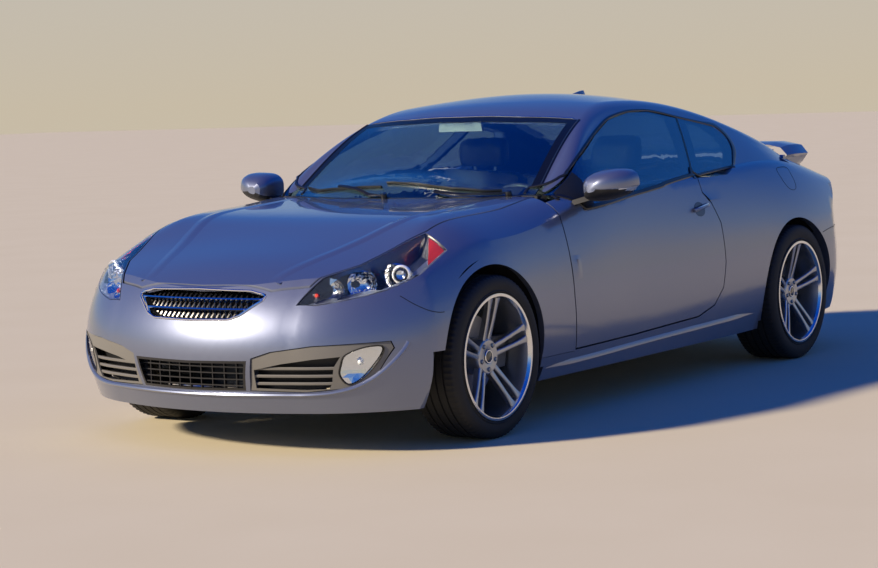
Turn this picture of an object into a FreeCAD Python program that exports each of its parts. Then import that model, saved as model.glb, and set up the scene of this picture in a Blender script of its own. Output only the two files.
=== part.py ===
"""Two-door coupe, modelled as the assembly that leaves the factory.

The frame is +X forward, +Y to the car's left and +Z up, in millimetres, with the origin on the ground
under the middle of the car's length. One outer skin, lofted from cross-sections and trimmed by a plan
outline, is split along the real shut lines into bonnet, doors, boot lid, wings, bumpers and side frames.
"""
import FreeCAD
import Part
import Sketcher
import math
import os

from FreeCAD import Vector

doc = FreeCAD.newDocument("coupe")
sheet = doc.addObject("Spreadsheet::Sheet", "Sizes")

SIZES = [
    ("overall_length", 4630, "over both bumpers"),
    ("overall_width", 1865, "over the rear haunches, without mirrors"),
    ("overall_height", 1380, "ground to the roof skin"),
    ("front_overhang", 860, "front axle to the nose"),
    ("wheelbase", 2820, "axle to axle"),
    ("front_track", 1600, "between the middles of the front tyres"),
    ("rear_track", 1615, "between the middles of the rear tyres"),
    ("front_tyre_radius", 331, "225/40 R19"),
    ("rear_tyre_radius", 339, "245/40 R19"),
    ("front_tyre_width", 225, "section width"),
    ("rear_tyre_width", 245, "section width"),
    ("rim_radius", 246, "outside of the rim barrel, where the tyre bead sits"),
    ("rim_flange", 257, "outside of the rim's lip"),
    ("rim_wall", 9, "barrel wall"),
    ("spoke_depth", 26, "thickness of the spoke disc"),
    ("dish", 52, "how far the hub face lies inside the rim's lip"),
    ("hub_radius", 78, "spoke disc's solid middle"),
    ("disc_radius", 168, "brake disc"),
    ("disc_wall", 28, "brake disc thickness"),
    ("spindle_radius", 24, "stub axle"),
    ("bearing_gap", 0.3, "running clearance of hubs, hinges and the column"),
    ("arch_radius", 374, "wheel arch opening in the wings"),
    ("belt_height", 940, "bottom of the side windows, mid door"),
    ("sill_height", 185, "underside of the sills"),
    ("panel_gap", 7, "shut line of an opening panel"),
    ("wall_side", 66, "door and side frame thickness"),
    ("wall_frame", 40, "side frame and rear quarter thickness"),
    ("door_inner", 770, "inside face of the doors from the centre line"),
    ("liner_radius", 397, "wheel liner"),
    ("wall_top", 26, "bonnet, boot lid and roof thickness"),
    ("wall_end", 60, "bumper thickness"),
    ("glass_wall", 6, "laminated and tempered glass"),
    ("lamp_depth", 60, "headlamp and tail lamp housing depth"),
    ("grille_wall", 22, "depth of the grille's bars"),
    ("door_front_x", 828, "front shut line of the door, ahead of mid length"),
    ("door_length", 1408, "front to rear shut line at the waist"),
    ("bonnet_half", 706, "half width of the bonnet over the wheels"),
    ("boot_setback", 425, "front edge of the boot lid behind the rear axle"),
    ("boot_half", 600, "half width of the boot lid at its front edge"),
    ("wing_chord", 265, "rear wing, front to back"),
    ("wing_height", 1090, "top of the rear wing"),
    ("wing_half", 640, "half span of the rear wing"),
    ("seat_offset", 375, "front seat's middle from the centre line"),
    ("seat_width", 460, "front seat"),
    ("hip_height", 440, "top of the front cushion"),
    ("steering_radius", 188, "steering wheel rim"),
    ("steering_grip", 15, "radius of the rim's grip"),
    ("exhaust_radius", 31, "main pipe"),
    ("tip_radius", 44, "tail pipe trim"),
    ("shaft_radius", 28, "propeller shaft"),
]
for line, (alias, value, note) in enumerate(SIZES, 1):
    sheet.set(f"A{line}", alias)
    sheet.set(f"B{line}", str(value))
    sheet.setAlias(f"B{line}", alias)
    sheet.set(f"C{line}", note)
doc.recompute()


class Size:
    """A length that knows both its value and the sheet expression that it comes from."""

    def __init__(self, value, text):
        self.value, self.text = float(value), text

    def _join(self, other, sign, value):
        text = other.text if isinstance(other, Size) else repr(float(other))
        return Size(value, f"({self.text} {sign} {text})")

    def __add__(self, other):
        return self._join(other, "+", self.value + number(other))

    def __sub__(self, other):
        return self._join(other, "-", self.value - number(other))

    def __mul__(self, other):
        return self._join(other, "*", self.value * number(other))

    def __truediv__(self, other):
        return self._join(other, "/", self.value / number(other))

    def __neg__(self):
        return self * -1


def number(length):
    return length.value if isinstance(length, Size) else float(length)


def size(alias):
    return Size(sheet.get(alias), f"Sizes.{alias}")


LENGTH, WIDTH, HEIGHT = size("overall_length"), size("overall_width"), size("overall_height")
NOSE, TAIL = LENGTH / 2, -(LENGTH / 2)
FRONT_AXLE = NOSE - size("front_overhang")
REAR_AXLE = FRONT_AXLE - size("wheelbase")
BELT, SILL, GAP = size("belt_height"), size("sill_height"), size("panel_gap")
RUN = size("bearing_gap")
ANCHORS = {"nose": NOSE.value, "front": FRONT_AXLE.value, "rear": REAR_AXLE.value, "tail": TAIL.value,
           "door": number(size("door_front_x")) - number(size("door_length")) / 2}
FAR = 4000.0

finished = {}


def finish(label, item):
    """Labels a document object as one named piece of the car."""
    item.Label = label
    finished[label] = item
    return item


def feature(label, shape):
    """A piece whose form comes from lofts and cuts rather than from primitives."""
    item = doc.addObject("Part::Feature", label)
    item.Shape = shape
    return finish(label, item)


def both_sides(shape):
    """The shape and its mirror image across the car's centre plane, as solids that don't touch."""
    return Part.makeCompound(shape.Solids + mirrored(shape).Solids)


def mirrored(shape):
    return shape.mirror(Vector(0, 0, 0), Vector(0, 1, 0))


def bind(item, path, length):
    """Ties one property of an object to the sheet."""
    if isinstance(length, Size):
        item.setExpression(path, length.text)
    else:
        item.setExpression(path, repr(float(length)))


def place(item, x, y, z):
    item.Placement.Base = Vector(number(x), number(y), number(z))
    for axis, length in zip("xyz", (x, y, z)):
        if isinstance(length, Size):
            bind(item, f"Placement.Base.{axis}", length)


def block(name, x, y, z, length, width, height):
    """A box with its low corner at x, y, z."""
    item = doc.addObject("Part::Box", name)
    for prop, value in (("Length", length), ("Width", width), ("Height", height)):
        setattr(item, prop, number(value))
        bind(item, prop, value)
    place(item, x, y, z)
    return item


def rod(name, x, y, z, radius, length, axis="y"):
    """A cylinder that starts at x, y, z and runs along an axis."""
    item = doc.addObject("Part::Cylinder", name)
    item.Radius, item.Height = number(radius), number(length)
    bind(item, "Radius", radius)
    bind(item, "Height", length)
    turn = {"x": (Vector(0, 1, 0), 90), "y": (Vector(1, 0, 0), -90), "z": (Vector(0, 0, 1), 0)}[axis]
    item.Placement.Rotation = FreeCAD.Rotation(*turn)
    place(item, x, y, z)
    return item


def fused(label, items):
    item = doc.addObject("Part::MultiFuse", label)
    item.Shapes = items
    return finish(label, item)


# The outer skin of the lower body. Each row is one cross-section, at an anchor and an offset along X.
# Columns: anchor, offset, bottom z, bottom inset, widest inset, widest z, edge inset, edge z, deck half,
# deck z, centre z. Insets are from half the car's width, and the last two heights are from the belt line.
LOWER = [
    ("nose", 20, 175, 150, 100, 420, 190, 520, 520, -345, -335),
    ("nose", -122, 175, 130, 75, 440, 150, 590, 560, -285, -268),
    ("nose", -365, 178, 92, 40, 480, 92, 655, 640, -205, -172),
    ("front", 195, 182, 70, 18, 600, 84, 765, 660, -88, -90),
    ("front", 0, 185, 60, 14, 640, 64, 795, 650, -37, -44),
    ("front", -300, 185, 60, 22, 640, 66, 812, 660, -20, -18),
    ("door", 705, 185, 56, 28, 640, 82, 860, 700, 0, 4),
    ("door", 255, 185, 54, 33, 640, 88, 905, 740, -8, 0),
    ("door", -145, 185, 54, 31, 640, 95, 935, 740, 6, 12),
    ("door", -705, 185, 54, 18, 650, 98, 955, 740, 34, 40),
    ("rear", 360, 188, 56, 8, 670, 96, 960, 740, 60, 66),
    ("rear", 0, 190, 58, 0, 700, 90, 945, 730, 78, 88),
    ("rear", -340, 195, 66, 6, 700, 88, 895, 690, 62, 96),
    ("tail", 260, 215, 100, 32, 650, 124, 860, 640, -12, 72),
    ("tail", -20, 240, 150, 72, 600, 190, 810, 560, -50, 44),
]
SHOULDER_BULGE = 16.0
SIDE_RISE = 13.5  # how far the side arcs stand out beyond their widest points


def arc(*points):
    return Part.Arc(*(Vector(*p) for p in points)).toShape()


def line(a, b):
    return Part.LineSegment(Vector(*a), Vector(*b)).toShape()


def bulged(x, a, b, rise):
    """Middle point of an arc from a to b in the plane of x, standing out by rise from their chord."""
    (ay, az), (by, bz) = a, b
    run = math.hypot(by - ay, bz - az)
    return ((ay + by) / 2 + rise * (bz - az) / run, (az + bz) / 2 - rise * (by - ay) / run)


def closed_section(x, low, wide, edge, deck, centre, bulge):
    """A closed section from five points of its left half: sill, widest, edge, deck and crown."""
    mid = bulged(x, edge, deck, bulge)
    left = [(x, *p) for p in (low, wide, edge, mid, deck)]
    right = [(x, -y, z) for _, y, z in left]
    return Part.Wire([
        line(right[0], left[0]),
        arc(left[0], left[1], left[2]),
        arc(left[2], left[3], left[4]),
        arc(left[4], (x, 0, centre), right[4]),
        arc(right[4], right[3], right[2]),
        arc(right[2], right[1], right[0]),
    ])


def lower_loft(side, top, low):
    """The lower body between its end faces, shrunk by a side, a top and a bottom wall."""
    wires = []
    half = WIDTH.value / 2 - SIDE_RISE
    for anchor, dx, z_low, i_low, i_wide, z_wide, i_edge, z_edge, deck, z_deck, z_mid in LOWER:
        x = ANCHORS[anchor] + dx
        base = BELT.value - 940
        wires.append(closed_section(
            x,
            (half - i_low - side, z_low + SILL.value - 185 + low),
            (half - i_wide - side, z_wide),
            (half - i_edge - side, z_edge + base - top / 2),
            (deck - side * 0.6, BELT.value + z_deck - top),
            BELT.value + z_mid - top,
            SHOULDER_BULGE,
        ))
    return Part.makeLoft(wires, True, False)


# The plan outline that rounds both ends, one row per height: z, nose x, tail x.
ENDS = [(60, -95, 150), (300, -14, 45), (450, 0, 0), (600, -58, 12), (760, -190, 40), (1150, -420, 110)]
# Points of the left half of one end, as a distance behind its tip and a half width.
NOSE_PLAN = [(75, 450), (200, 700), (420, 880), (720, 1010)]
TAIL_PLAN = [(28, 450), (135, 700), (400, 880), (700, 1010)]


def ends_loft(end):
    """A tall block whose nose and tail follow the bumpers' plan curves, shrunk by an end wall."""
    wires = []
    for z, nose_in, tail_in in ENDS:
        nose, tail = NOSE.value + nose_in - end, TAIL.value + tail_in + end
        front = [(nose - dx, y, z) for dx, y in NOSE_PLAN]
        back = [(tail + dx, y, z) for dx, y in TAIL_PLAN]
        flip = [[(x, -y, h) for x, y, h in side] for side in (front, back)]
        wires.append(Part.Wire([
            arc(flip[0][0], (nose, 0, z), front[0]),
            arc(*front[:3]),
            line(front[2], front[3]),
            line(front[3], back[3]),
            line(back[3], back[2]),
            arc(*back[2::-1]),
            arc(back[0], (tail, 0, z), flip[1][0]),
            arc(*flip[1][:3]),
            line(flip[1][2], flip[1][3]),
            line(flip[1][3], flip[0][3]),
            line(flip[0][3], flip[0][2]),
            arc(*flip[0][2::-1]),
        ]))
    return Part.makeLoft(wires, True, False)


# The cabin above the belt. Columns: anchor, offset, half width at the base, rail half width and drop,
# roof edge half width and drop, centre drop. Drops are from the car's height.
UPPER = [
    ("door", 775, 690, 560, 476, 500, 458, 450),
    ("door", 585, 798, 745, 440, 665, 424, 337),
    ("door", 362, 874, 722, 300, 652, 268, 213),
    ("door", 87, 865, 645, 172, 580, 118, 68),
    ("door", -125, 869, 608, 112, 528, 57, 24),
    ("door", -330, 870, 597, 92, 508, 42, 2),
    ("rear", 700, 860, 600, 112, 504, 65, 16),
    ("rear", 365, 851, 625, 167, 534, 127, 62),
    ("rear", 120, 845, 665, 240, 568, 189, 132),
    ("rear", -180, 818, 700, 342, 588, 272, 250),
    ("rear", -520, 760, 716, 478, 600, 415, 394),
]
CABIN_BASE = 90.0
RAIL_BULGE = 13.0
GLASS_BULGE = 12.0


def upper_loft(side, top):
    """The cabin above the belt, shrunk by a side and a top wall."""
    wires = []
    for anchor, dx, y_base, y_rail, d_rail, y_roof, d_roof, d_mid in UPPER:
        x = ANCHORS[anchor] + dx
        base = (y_base - side, BELT.value - CABIN_BASE)
        rail = (y_rail - side, HEIGHT.value - d_rail - top)
        wide = bulged(x, base, rail, GLASS_BULGE)
        roof = (y_roof - side * 0.7, HEIGHT.value - d_roof - top)
        wires.append(closed_section(x, base, wide, rail, roof, HEIGHT.value - d_mid - top, RAIL_BULGE))
    return Part.makeLoft(wires, True, False)


def solid_of(shape):
    """The largest solid of a shape, without seams left by a boolean."""
    shape = shape.removeSplitter()
    return max(shape.Solids, key=lambda s: s.Volume)


WALL_SIDE, WALL_TOP, WALL_END = (number(size(n)) for n in ("wall_side", "wall_top", "wall_end"))
GLASS = number(size("glass_wall"))

lower_outer = solid_of(lower_loft(0, 0, 0).common(ends_loft(0)))
upper_outer = upper_loft(0, 0)
upper_inner = upper_loft(50, 34)
upper_glass = upper_loft(GLASS, GLASS)


def outline(points, axis, offset=0.0):
    """A face from corners in a plane across an axis: (x, z) across y, (x, y) across z, (y, z) across x."""
    put = {
        "y": lambda a, b: Vector(a, 0, b),
        "z": lambda a, b: Vector(a, b, 0),
        "x": lambda a, b: Vector(0, a, b),
    }[axis]
    face = Part.Face(Part.makePolygon([put(*p) for p in points] + [put(*points[0])]))
    if offset:
        face = face.makeOffset2D(offset, 2)
    return face


def prism(points, axis, low, high, offset=0.0):
    """The outline pushed along its axis from low to high."""
    face = outline(points, axis, offset)
    step = {"x": Vector(1, 0, 0), "y": Vector(0, 1, 0), "z": Vector(0, 0, 1)}[axis]
    face.translate(step * low)
    return face.extrude(step * (high - low))


XF, XR = FRONT_AXLE.value, REAR_AXLE.value
ZF, ZR = number(size("front_tyre_radius")), number(size("rear_tyre_radius"))
ARCH = number(size("arch_radius"))
DOOR_X = number(size("door_front_x"))
DOOR_END = DOOR_X - number(size("door_length"))
GAP_MM, RUN_MM = GAP.value, RUN.value
B = BELT.value
X_NOSE, X_TAIL = NOSE.value, TAIL.value
H = HEIGHT.value

# The shut line of the left door in side view, from the front bottom corner round past the belt.
DOOR_LINE = [
    (DOOR_X - 22, 290), (DOOR_X, 520), (DOOR_X, B + 10), (DOOR_END + 100, B + 60), (DOOR_END + 104, B - 52),
    (DOOR_END + 46, B - 104), (DOOR_END, B - 200), (DOOR_END, B - 386), (DOOR_END + 28, 434),
    (DOOR_END + 110, 356), (DOOR_END + 262, 316), (DOOR_X - 560, 297),
]
# The side window opening: the belt, the dip behind the door, and the curve over the top.
DOOR_GLASS = [
    (DOOR_X - 40, B - 80), (DOOR_END + 134, B + 20), (DOOR_END - 70, B + 304), (DOOR_END + 180, H - 98),
    (DOOR_END + 380, H - 98), (DOOR_END + 590, H - 126), (DOOR_END + 790, H - 192),
    (DOOR_END + 1067, H - 300), (DOOR_X - 70, B - 10),
]
QUARTER_GLASS = [
    (DOOR_END + 120, B + 18), (DOOR_END - 20, B + 16), (DOOR_END - 210, B + 20), (DOOR_END - 372, B + 62),
    (DOOR_END - 470, B + 136), (DOOR_END - 470, B + 200), (DOOR_END - 400, B + 252), (DOOR_END - 82, B + 302),
]
WINDSCREEN = [
    (XF + 200, 640), (DOOR_X - 140, 655), (DOOR_X - 610, 590), (DOOR_X - 560, 300), (DOOR_X - 545, 0),
]
BOOT_X = XR - number(size("boot_setback"))
BACKLIGHT = [
    (XR + 455, 0), (XR + 440, 300), (XR + 395, 500), (BOOT_X + 110, 575), (BOOT_X + 40, 500),
    (BOOT_X + 28, 300), (BOOT_X + 26, 0),
]


def whole(half):
    """A closed plan outline from the left half of it."""
    return half + [(x, -y) for x, y in reversed(half) if y]


BONNET = [
    (DOOR_X + 84, 0), (DOOR_X + 60, 300), (DOOR_X - 6, 560), (DOOR_X - 30, 700), (XF - 350, 716),
    (XF, number(size("bonnet_half"))), (XF + 180, 700), (XF + 498, 598), (X_NOSE - 190, 482),
    (X_NOSE - 135, 335), (X_NOSE - 116, 0),
]
LAMP = [
    (XF + 192, 705), (XF + 503, 602), (X_NOSE - 132, 452), (X_NOSE - 190, 640), (X_NOSE - 330, 830),
    (X_NOSE - 560, 905), (XF + 215, 860),
]
# The lamp in side view: its lower edge climbs towards the wheel arch.
LAMP_SIDE = [
    (FAR, 545), (X_NOSE - 132, 588), (X_NOSE - 330, 645), (XF + 176, 790), (XF + 50, 850),
    (XF + 50, 1100), (FAR, 1100),
]
BOOT = [
    (BOOT_X, 0), (BOOT_X + 4, 300), (BOOT_X + 18, number(size("boot_half"))), (X_TAIL + 200, 600),
    (X_TAIL - 80, 560), (X_TAIL - 80, 0),
]

FRONT_BUMPER = [
    (FAR, 0), (FAR, 900), (X_NOSE - 330, 900), (X_NOSE - 330, 640), (X_NOSE - 455, 552),
    (XF + 100, 548), (XF + 100, 0),
]
REAR_BUMPER = [(XR - 250, 0), (XR - 250, 620), (XR - 420, 640), (-FAR, 640), (-FAR, 0)]
LID_LOW = 647.0
GRILLE = [(0, 662), (250, 656), (318, 640), (318, 618), (235, 556), (190, 540), (0, 536)]
INTAKE = [(0, 384), (282, 388), (258, 268), (0, 264)]
SIDE_INTAKE = [
    (300, 398), (380, 424), (540, 446), (790, 456), (800, 428), (740, 312), (650, 276), (500, 262),
    (276, 268), (284, 300),
]
TAIL_LAMP = [(-FAR, 700), (X_TAIL + 330, 712), (X_TAIL + 372, 800), (X_TAIL + 330, 858), (-FAR, 880)]
FENDER = [
    (DOOR_X + GAP_MM - 22, 283), (DOOR_X + GAP_MM, 520), (DOOR_X + GAP_MM, B + 60), (X_NOSE, B + 60),
    (X_NOSE, 0), (XF - 100, 0), (XF - 100, 283),
]
SIDE_FRAME = [(DOOR_X + GAP_MM, 0), *FENDER[:2], (DOOR_X + GAP_MM, 1100), (-FAR, 1100), (-FAR, 0)]
SCUTTLE = [
    (DOOR_X + 78, 0), (DOOR_X + 53, 300), (DOOR_X - 13, 556), (DOOR_X - 37, 692), (DOOR_X - 128, 700),
    (DOOR_X - 188, 640), (DOOR_X - 68, 500), (DOOR_X + 2, 300), (DOOR_X + 22, 0),
]
FIREWALL_X = DOOR_X + 17
FLOOR_Z = SILL.value + 14
TUNNEL, TUNNEL_TOP, PAN = 140.0, FLOOR_Z + 256, 26.0
FLOOR_PLAN = [(FIREWALL_X, 740), (-1990, 740), (-2090, 690), (-2200, 430), (-2205, 0)]
FLOOR = [
    (FIREWALL_X, B - 75), (FIREWALL_X, 400), (FIREWALL_X - 60, FLOOR_Z), (-560, FLOOR_Z), (-602, 315),
    (-1010, 315), (-1058, 400), (X_TAIL, 400), (X_TAIL, 430), (-1034, 430), (-986, 341), (-576, 341),
    (-534, FLOOR_Z + PAN), (FIREWALL_X - 80, FLOOR_Z + PAN), (FIREWALL_X - 30, 405),
    (FIREWALL_X - 30, B - 75),
]
SHELF = [(-1150, 924.5), (BOOT_X + 155, 955), (BOOT_X + 155, 973), (-1150, 942.5)]
DASH = [
    (FIREWALL_X - 30, 620), (470, 560), (385, 640), (345, 760), (420, 880), (600, 922),
    (FIREWALL_X - 30, 880),
]
CONSOLE = [(430, TUNNEL_TOP), (430, 590), (300, 560), (-60, 490), (-550, 520), (-575, TUNNEL_TOP)]
SEAT = [
    (200, 290), (225, 400), (170, 448), (-215, 400), (-395, 930), (-440, 985), (-500, 975), (-520, 900),
    (-345, 330), (-300, 290),
]
HEADREST = [(-430, 1020), (-425, 1120), (-470, 1170), (-520, 1150), (-515, 1040), (-470, 1010)]
REAR_SEAT = [
    (-605, 341), (-590, 450), (-640, 480), (-1000, 440), (-1120, 890), (-1165, 924), (-1178, 880),
    (-1105, 434), (-1026, 434), (-975, 341),
]
SEAT_Y = number(size("seat_offset"))
# The rim's windows as radius and angle: the wide one beside a pair of spokes, and the slot between the two.
SPOKE_WINDOWS = [
    [(96, 17), (222, 9.5), (222, 62.5), (96, 55)],
    [(120, -4.5), (222, -4.2), (222, 4.2), (120, 4.5)],
]
ROOF_HALF = 470.0
HINGE_X, HINGE_Y, HINGE_Z = DOOR_X - 50, 890.0, (400, 640)
# The hinge arm ends this far short of the pin's axis, to clear the door's skin when it's fully open.
ARM_SHORT = 5.0
HINGE_BOOT, BOOT_PIN = Vector(BOOT_X + 100, 540, B + 65), 8.0
KING_FOOT, KING_TOP = Vector(XF, 705, 212), Vector(XF - 36, 601.5, 788)
KING = (KING_TOP - KING_FOOT).normalize()
LINER, LINER_WALL, LINER_INNER_REAR, LINER_NOTCH = number(size("liner_radius")), 6.0, 655.0, 170.0
TIP, TIP_Y, TIP_Z = number(size("tip_radius")), 500.0, 290.0
JACK_X, JACK_Y, JACK_Z = (940.0, -780.0), 800.0, SILL.value - 10
WALL_FRAME = number(size("wall_frame"))


def rod_shape(start, end, radius):
    start, end = Vector(start), Vector(end)
    return Part.makeCylinder(radius, (end - start).Length, start, end - start)


def mirror_outline(half):
    return half + [(-y, z) for y, z in reversed(half) if y]


def skin(region, inner):
    """One body panel: what the outer skin and a region share, less the space inside."""
    return region.common(lower_outer).cut(inner)


voids = {}


def thin_inner(wall):
    """The space inside a panel of the given wall all round."""
    if wall not in voids:
        voids[wall] = solid_of(lower_loft(wall, wall, 30).common(ends_loft(wall)))
    return voids[wall]


# Cutters for the shut lines. The opening panels are smaller than their openings by the panel gap.
KEEP, OPEN = -GAP_MM / 2, GAP_MM / 2
DOOR_INNER = number(size("door_inner"))
bonnet_hole = prism(whole(BONNET), "z", 560, FAR, OPEN)
lamp_prism = prism(LAMP, "z", 540, FAR).common(prism(LAMP_SIDE, "y", 0, 1100)).cut(bonnet_hole)
grille_hole = prism(mirror_outline(GRILLE), "x", X_NOSE - 320, FAR)
intake_hole = prism(mirror_outline(INTAKE), "x", X_NOSE - 320, FAR)
side_hole = prism(SIDE_INTAKE, "x", X_NOSE - 620, FAR)
lid_hole = prism(whole(BOOT), "z", LID_LOW - GAP_MM, FAR, OPEN)
tail_lamp_prism = prism(TAIL_LAMP, "y", number(size("boot_half")) + 8, 1100)
rear_bumper_prism = prism(REAR_BUMPER, "y", -1100, 1100)
front_bumper_prism = prism(FRONT_BUMPER, "y", -1100, 1100)
door_hole = prism(DOOR_LINE, "y", DOOR_INNER - 8, 1100, OPEN)
glass_hole = prism(DOOR_GLASS, "y", 300, 1100, OPEN)
quarter_hole = prism(QUARTER_GLASS, "y", 300, 1100)
screen_hole = prism(whole(WINDSCREEN), "z", 700, FAR)
backlight_hole = prism(whole(BACKLIGHT), "z", 900, FAR)
arches = []
for axle, height, radius, inner in ((XF, ZF, ARCH, 490), (XR, ZR, ARCH + 2, LINER_INNER_REAR - RUN_MM)):
    arches.append(rod_shape((axle, inner, height), (axle, 1200, height), radius))
    arches.append(rod_shape((axle, inner, height), (axle, 876 + RUN_MM, height), LINER + LINER_WALL + RUN_MM))


def cut_all(shape, *cutters):
    return shape.cut(list(cutters))


def with_mirror(*cutters):
    return [*cutters, *(mirrored(c) for c in cutters)]


void_26, void_40, void_66, void_60 = (thin_inner(w) for w in (WALL_TOP, WALL_FRAME, WALL_SIDE, WALL_END))
upper_shell = upper_outer.cut(upper_inner)
glass_shell = upper_outer.cut(upper_glass).cut(lower_outer)

# Bonnet: a pressed skin on its frame, hung from two pins in the scuttle's trough.
HINGE_BONNET = Vector(DOOR_X - 38, 0, B - 10)
BONNET_PIN = 5.0
bonnet = solid_of(skin(prism(whole(BONNET), "z", 590, FAR, KEEP), void_26))
for y in (-640, 640):
    tongue = Part.makeBox(74, 30, 10, Vector(HINGE_BONNET.x, y - 15, HINGE_BONNET.z - 10))
    eye = rod_shape((HINGE_BONNET.x, y - 15, HINGE_BONNET.z), (HINGE_BONNET.x, y + 15, HINGE_BONNET.z), 10)
    bore_ends = [(HINGE_BONNET.x, y + dy, HINGE_BONNET.z) for dy in (-20, 20)]
    bore = rod_shape(*bore_ends, BONNET_PIN + RUN_MM)
    bonnet = bonnet.fuse(tongue.common(lower_outer)).fuse(eye).cut(bore)
feature("bonnet", solid_of(bonnet))

# Lamps: each a clear-fronted housing that fills its opening.
feature("headlamps", both_sides(solid_of(lamp_prism.common(lower_outer).cut([void_60, *arches]))))
tail_lamp = tail_lamp_prism.common(lower_outer).cut(void_60)
feature("tail_lamps", both_sides(solid_of(tail_lamp)))

# Bumper covers, open behind.
undertray = Part.makeBox(FAR, 2000, 400, Vector(XF + 100 - FAR + 330, -1000, 0))
bumper = cut_all(skin(front_bumper_prism, void_60), bonnet_hole, grille_hole, intake_hole, undertray,
                 *with_mirror(lamp_prism, side_hole, *arches))
feature("front_bumper", solid_of(bumper))
silencer_bay = Part.makeBox(700, 1200, 380, Vector(X_TAIL + 140, -600, 0))
bumper = skin(rear_bumper_prism, void_60)
bumper = cut_all(bumper, lid_hole, silencer_bay, *with_mirror(*arches, tail_lamp_prism))
for y in (-TIP_Y, TIP_Y):
    bumper = bumper.cut(rod_shape((X_TAIL + 250, y, TIP_Z), (X_TAIL - 50, y, TIP_Z), TIP + 10))
feature("rear_bumper", solid_of(bumper))

# Front wings, from the lamp to the door.
wing = skin(prism(FENDER, "y", 400, 1100), void_26)
wing = cut_all(wing, bonnet_hole, lamp_prism, front_bumper_prism, *arches)
feature("front_fenders", both_sides(solid_of(wing)))

# Side frames: sill, hinge post, roof rail, window surround and rear quarter in one welded side.
frame_skin = lower_outer.cut(void_40).cut(upper_inner)
cabin_box = Part.makeBox(DOOR_X + 12 + 1600, 2 * DOOR_INNER, 2000, Vector(-1600, -DOOR_INNER, 0))
side = frame_skin.cut(cabin_box).common(prism(SIDE_FRAME, "y", 500, 1100))
sill = lower_outer.common(Part.makeBox(XF - 370 + 970, 300, 96, Vector(-970, 740, SILL.value)))
post = void_40.common(Part.makeBox(42, 150, 700, Vector(FIREWALL_X + RUN_MM, 690, 190))).cut(bonnet_hole)
roof_strip = Part.makeBox(2 * FAR, 2 * ROOF_HALF, FAR, Vector(-FAR, -ROOF_HALF, 0))
pillars = cut_all(upper_shell, roof_strip, screen_hole, backlight_hole)
pillars = pillars.common(Part.makeBox(3000, 1000, 900, Vector(-1760, 0, 850)))
pads = [Part.makeBox(90, 40, 30, Vector(x - 45, JACK_Y - 20, JACK_Z)) for x in JACK_X]
side = side.fuse([sill, post, pillars, *pads])
side = cut_all(side, door_hole, glass_hole, quarter_hole, lid_hole, tail_lamp_prism, rear_bumper_prism,
               bonnet_hole, screen_hole, backlight_hole, *arches)
side = solid_of(side)
for z in HINGE_Z:
    arm = Part.makeBox(12, HINGE_Y - ARM_SHORT - 826, 20, Vector(HINGE_X - 6, 826, z - 10))
    arm = arm.fuse(Part.makeBox(FIREWALL_X + 12 - HINGE_X, 12, 20, Vector(HINGE_X - 6, 818, z - 10)))
    side = side.fuse(arm).fuse(rod_shape((HINGE_X, HINGE_Y, z - 32), (HINGE_X, HINGE_Y, z + 32), 6))
outer_end = (HINGE_BOOT.x, 700, HINGE_BOOT.z)
pin = rod_shape((HINGE_BOOT.x, HINGE_BOOT.y - 12, HINGE_BOOT.z), outer_end, BOOT_PIN)
boss = rod_shape((HINGE_BOOT.x, HINGE_BOOT.y + 14, HINGE_BOOT.z), outer_end, 2 * BOOT_PIN)
side = side.fuse([pin, boss])
feature("side_frames", both_sides(solid_of(side)))

# Roof skin with its bows, between the two rails.
roof = cut_all(upper_shell, screen_hole, backlight_hole).common(
    Part.makeBox(1700, 2 * ROOF_HALF, 600, Vector(-1050, -ROOF_HALF, 1100)))
feature("roof", solid_of(roof))

# Glass that is bonded in.
feature("windscreen", solid_of(glass_shell.common(screen_hole).cut(bonnet_hole)))
back_glass = solid_of(glass_shell.common(backlight_hole))
quarter = solid_of(glass_shell.common(quarter_hole))
feature("rear_windows", Part.makeCompound([back_glass, quarter, mirrored(quarter)]))

# Scuttle between bonnet and windscreen.
scuttle = skin(prism(whole(SCUTTLE), "z", 800, FAR), void_26)
rib = Part.makeBox(20, 1000, 90, Vector(FIREWALL_X, -500, B - 75)).common(lower_outer)
scuttle = scuttle.fuse(rib.cut(bonnet_hole))
trough = Part.makeBox(110, 120, 90, Vector(HINGE_BONNET.x - 18, 612, HINGE_BONNET.z - 24))
pin = rod_shape((HINGE_BONNET.x, 598, HINGE_BONNET.z), (HINGE_BONNET.x, 660, HINGE_BONNET.z), BONNET_PIN)
scuttle = cut_all(scuttle, *with_mirror(trough, pillars)).fuse(with_mirror(pin))
feature("scuttle", solid_of(scuttle))

# Doors: frameless, the glass standing on the waist rail.
door = prism(DOOR_LINE, "y", DOOR_INNER, 1100, KEEP).common(lower_outer).cut(void_66)
for z in HINGE_Z:
    slot = Part.makeBox(200, 200, 80, Vector(HINGE_X - 24, HINGE_Y - 200 + 4, z - 40))
    door = door.cut(slot)
    for low in (z - 42, z + 12):
        knuckle_eye = rod_shape((HINGE_X, HINGE_Y, low), (HINGE_X, HINGE_Y, low + 30), 11)
        door = door.fuse(knuckle_eye.common(lower_outer))
    door = door.cut(rod_shape((HINGE_X, HINGE_Y, z - 32.5), (HINGE_X, HINGE_Y, z + 32.5), 6 + RUN_MM))
door = solid_of(door)
window = solid_of(glass_shell.common(prism(DOOR_GLASS, "y", 300, 1100, KEEP)))
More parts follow.
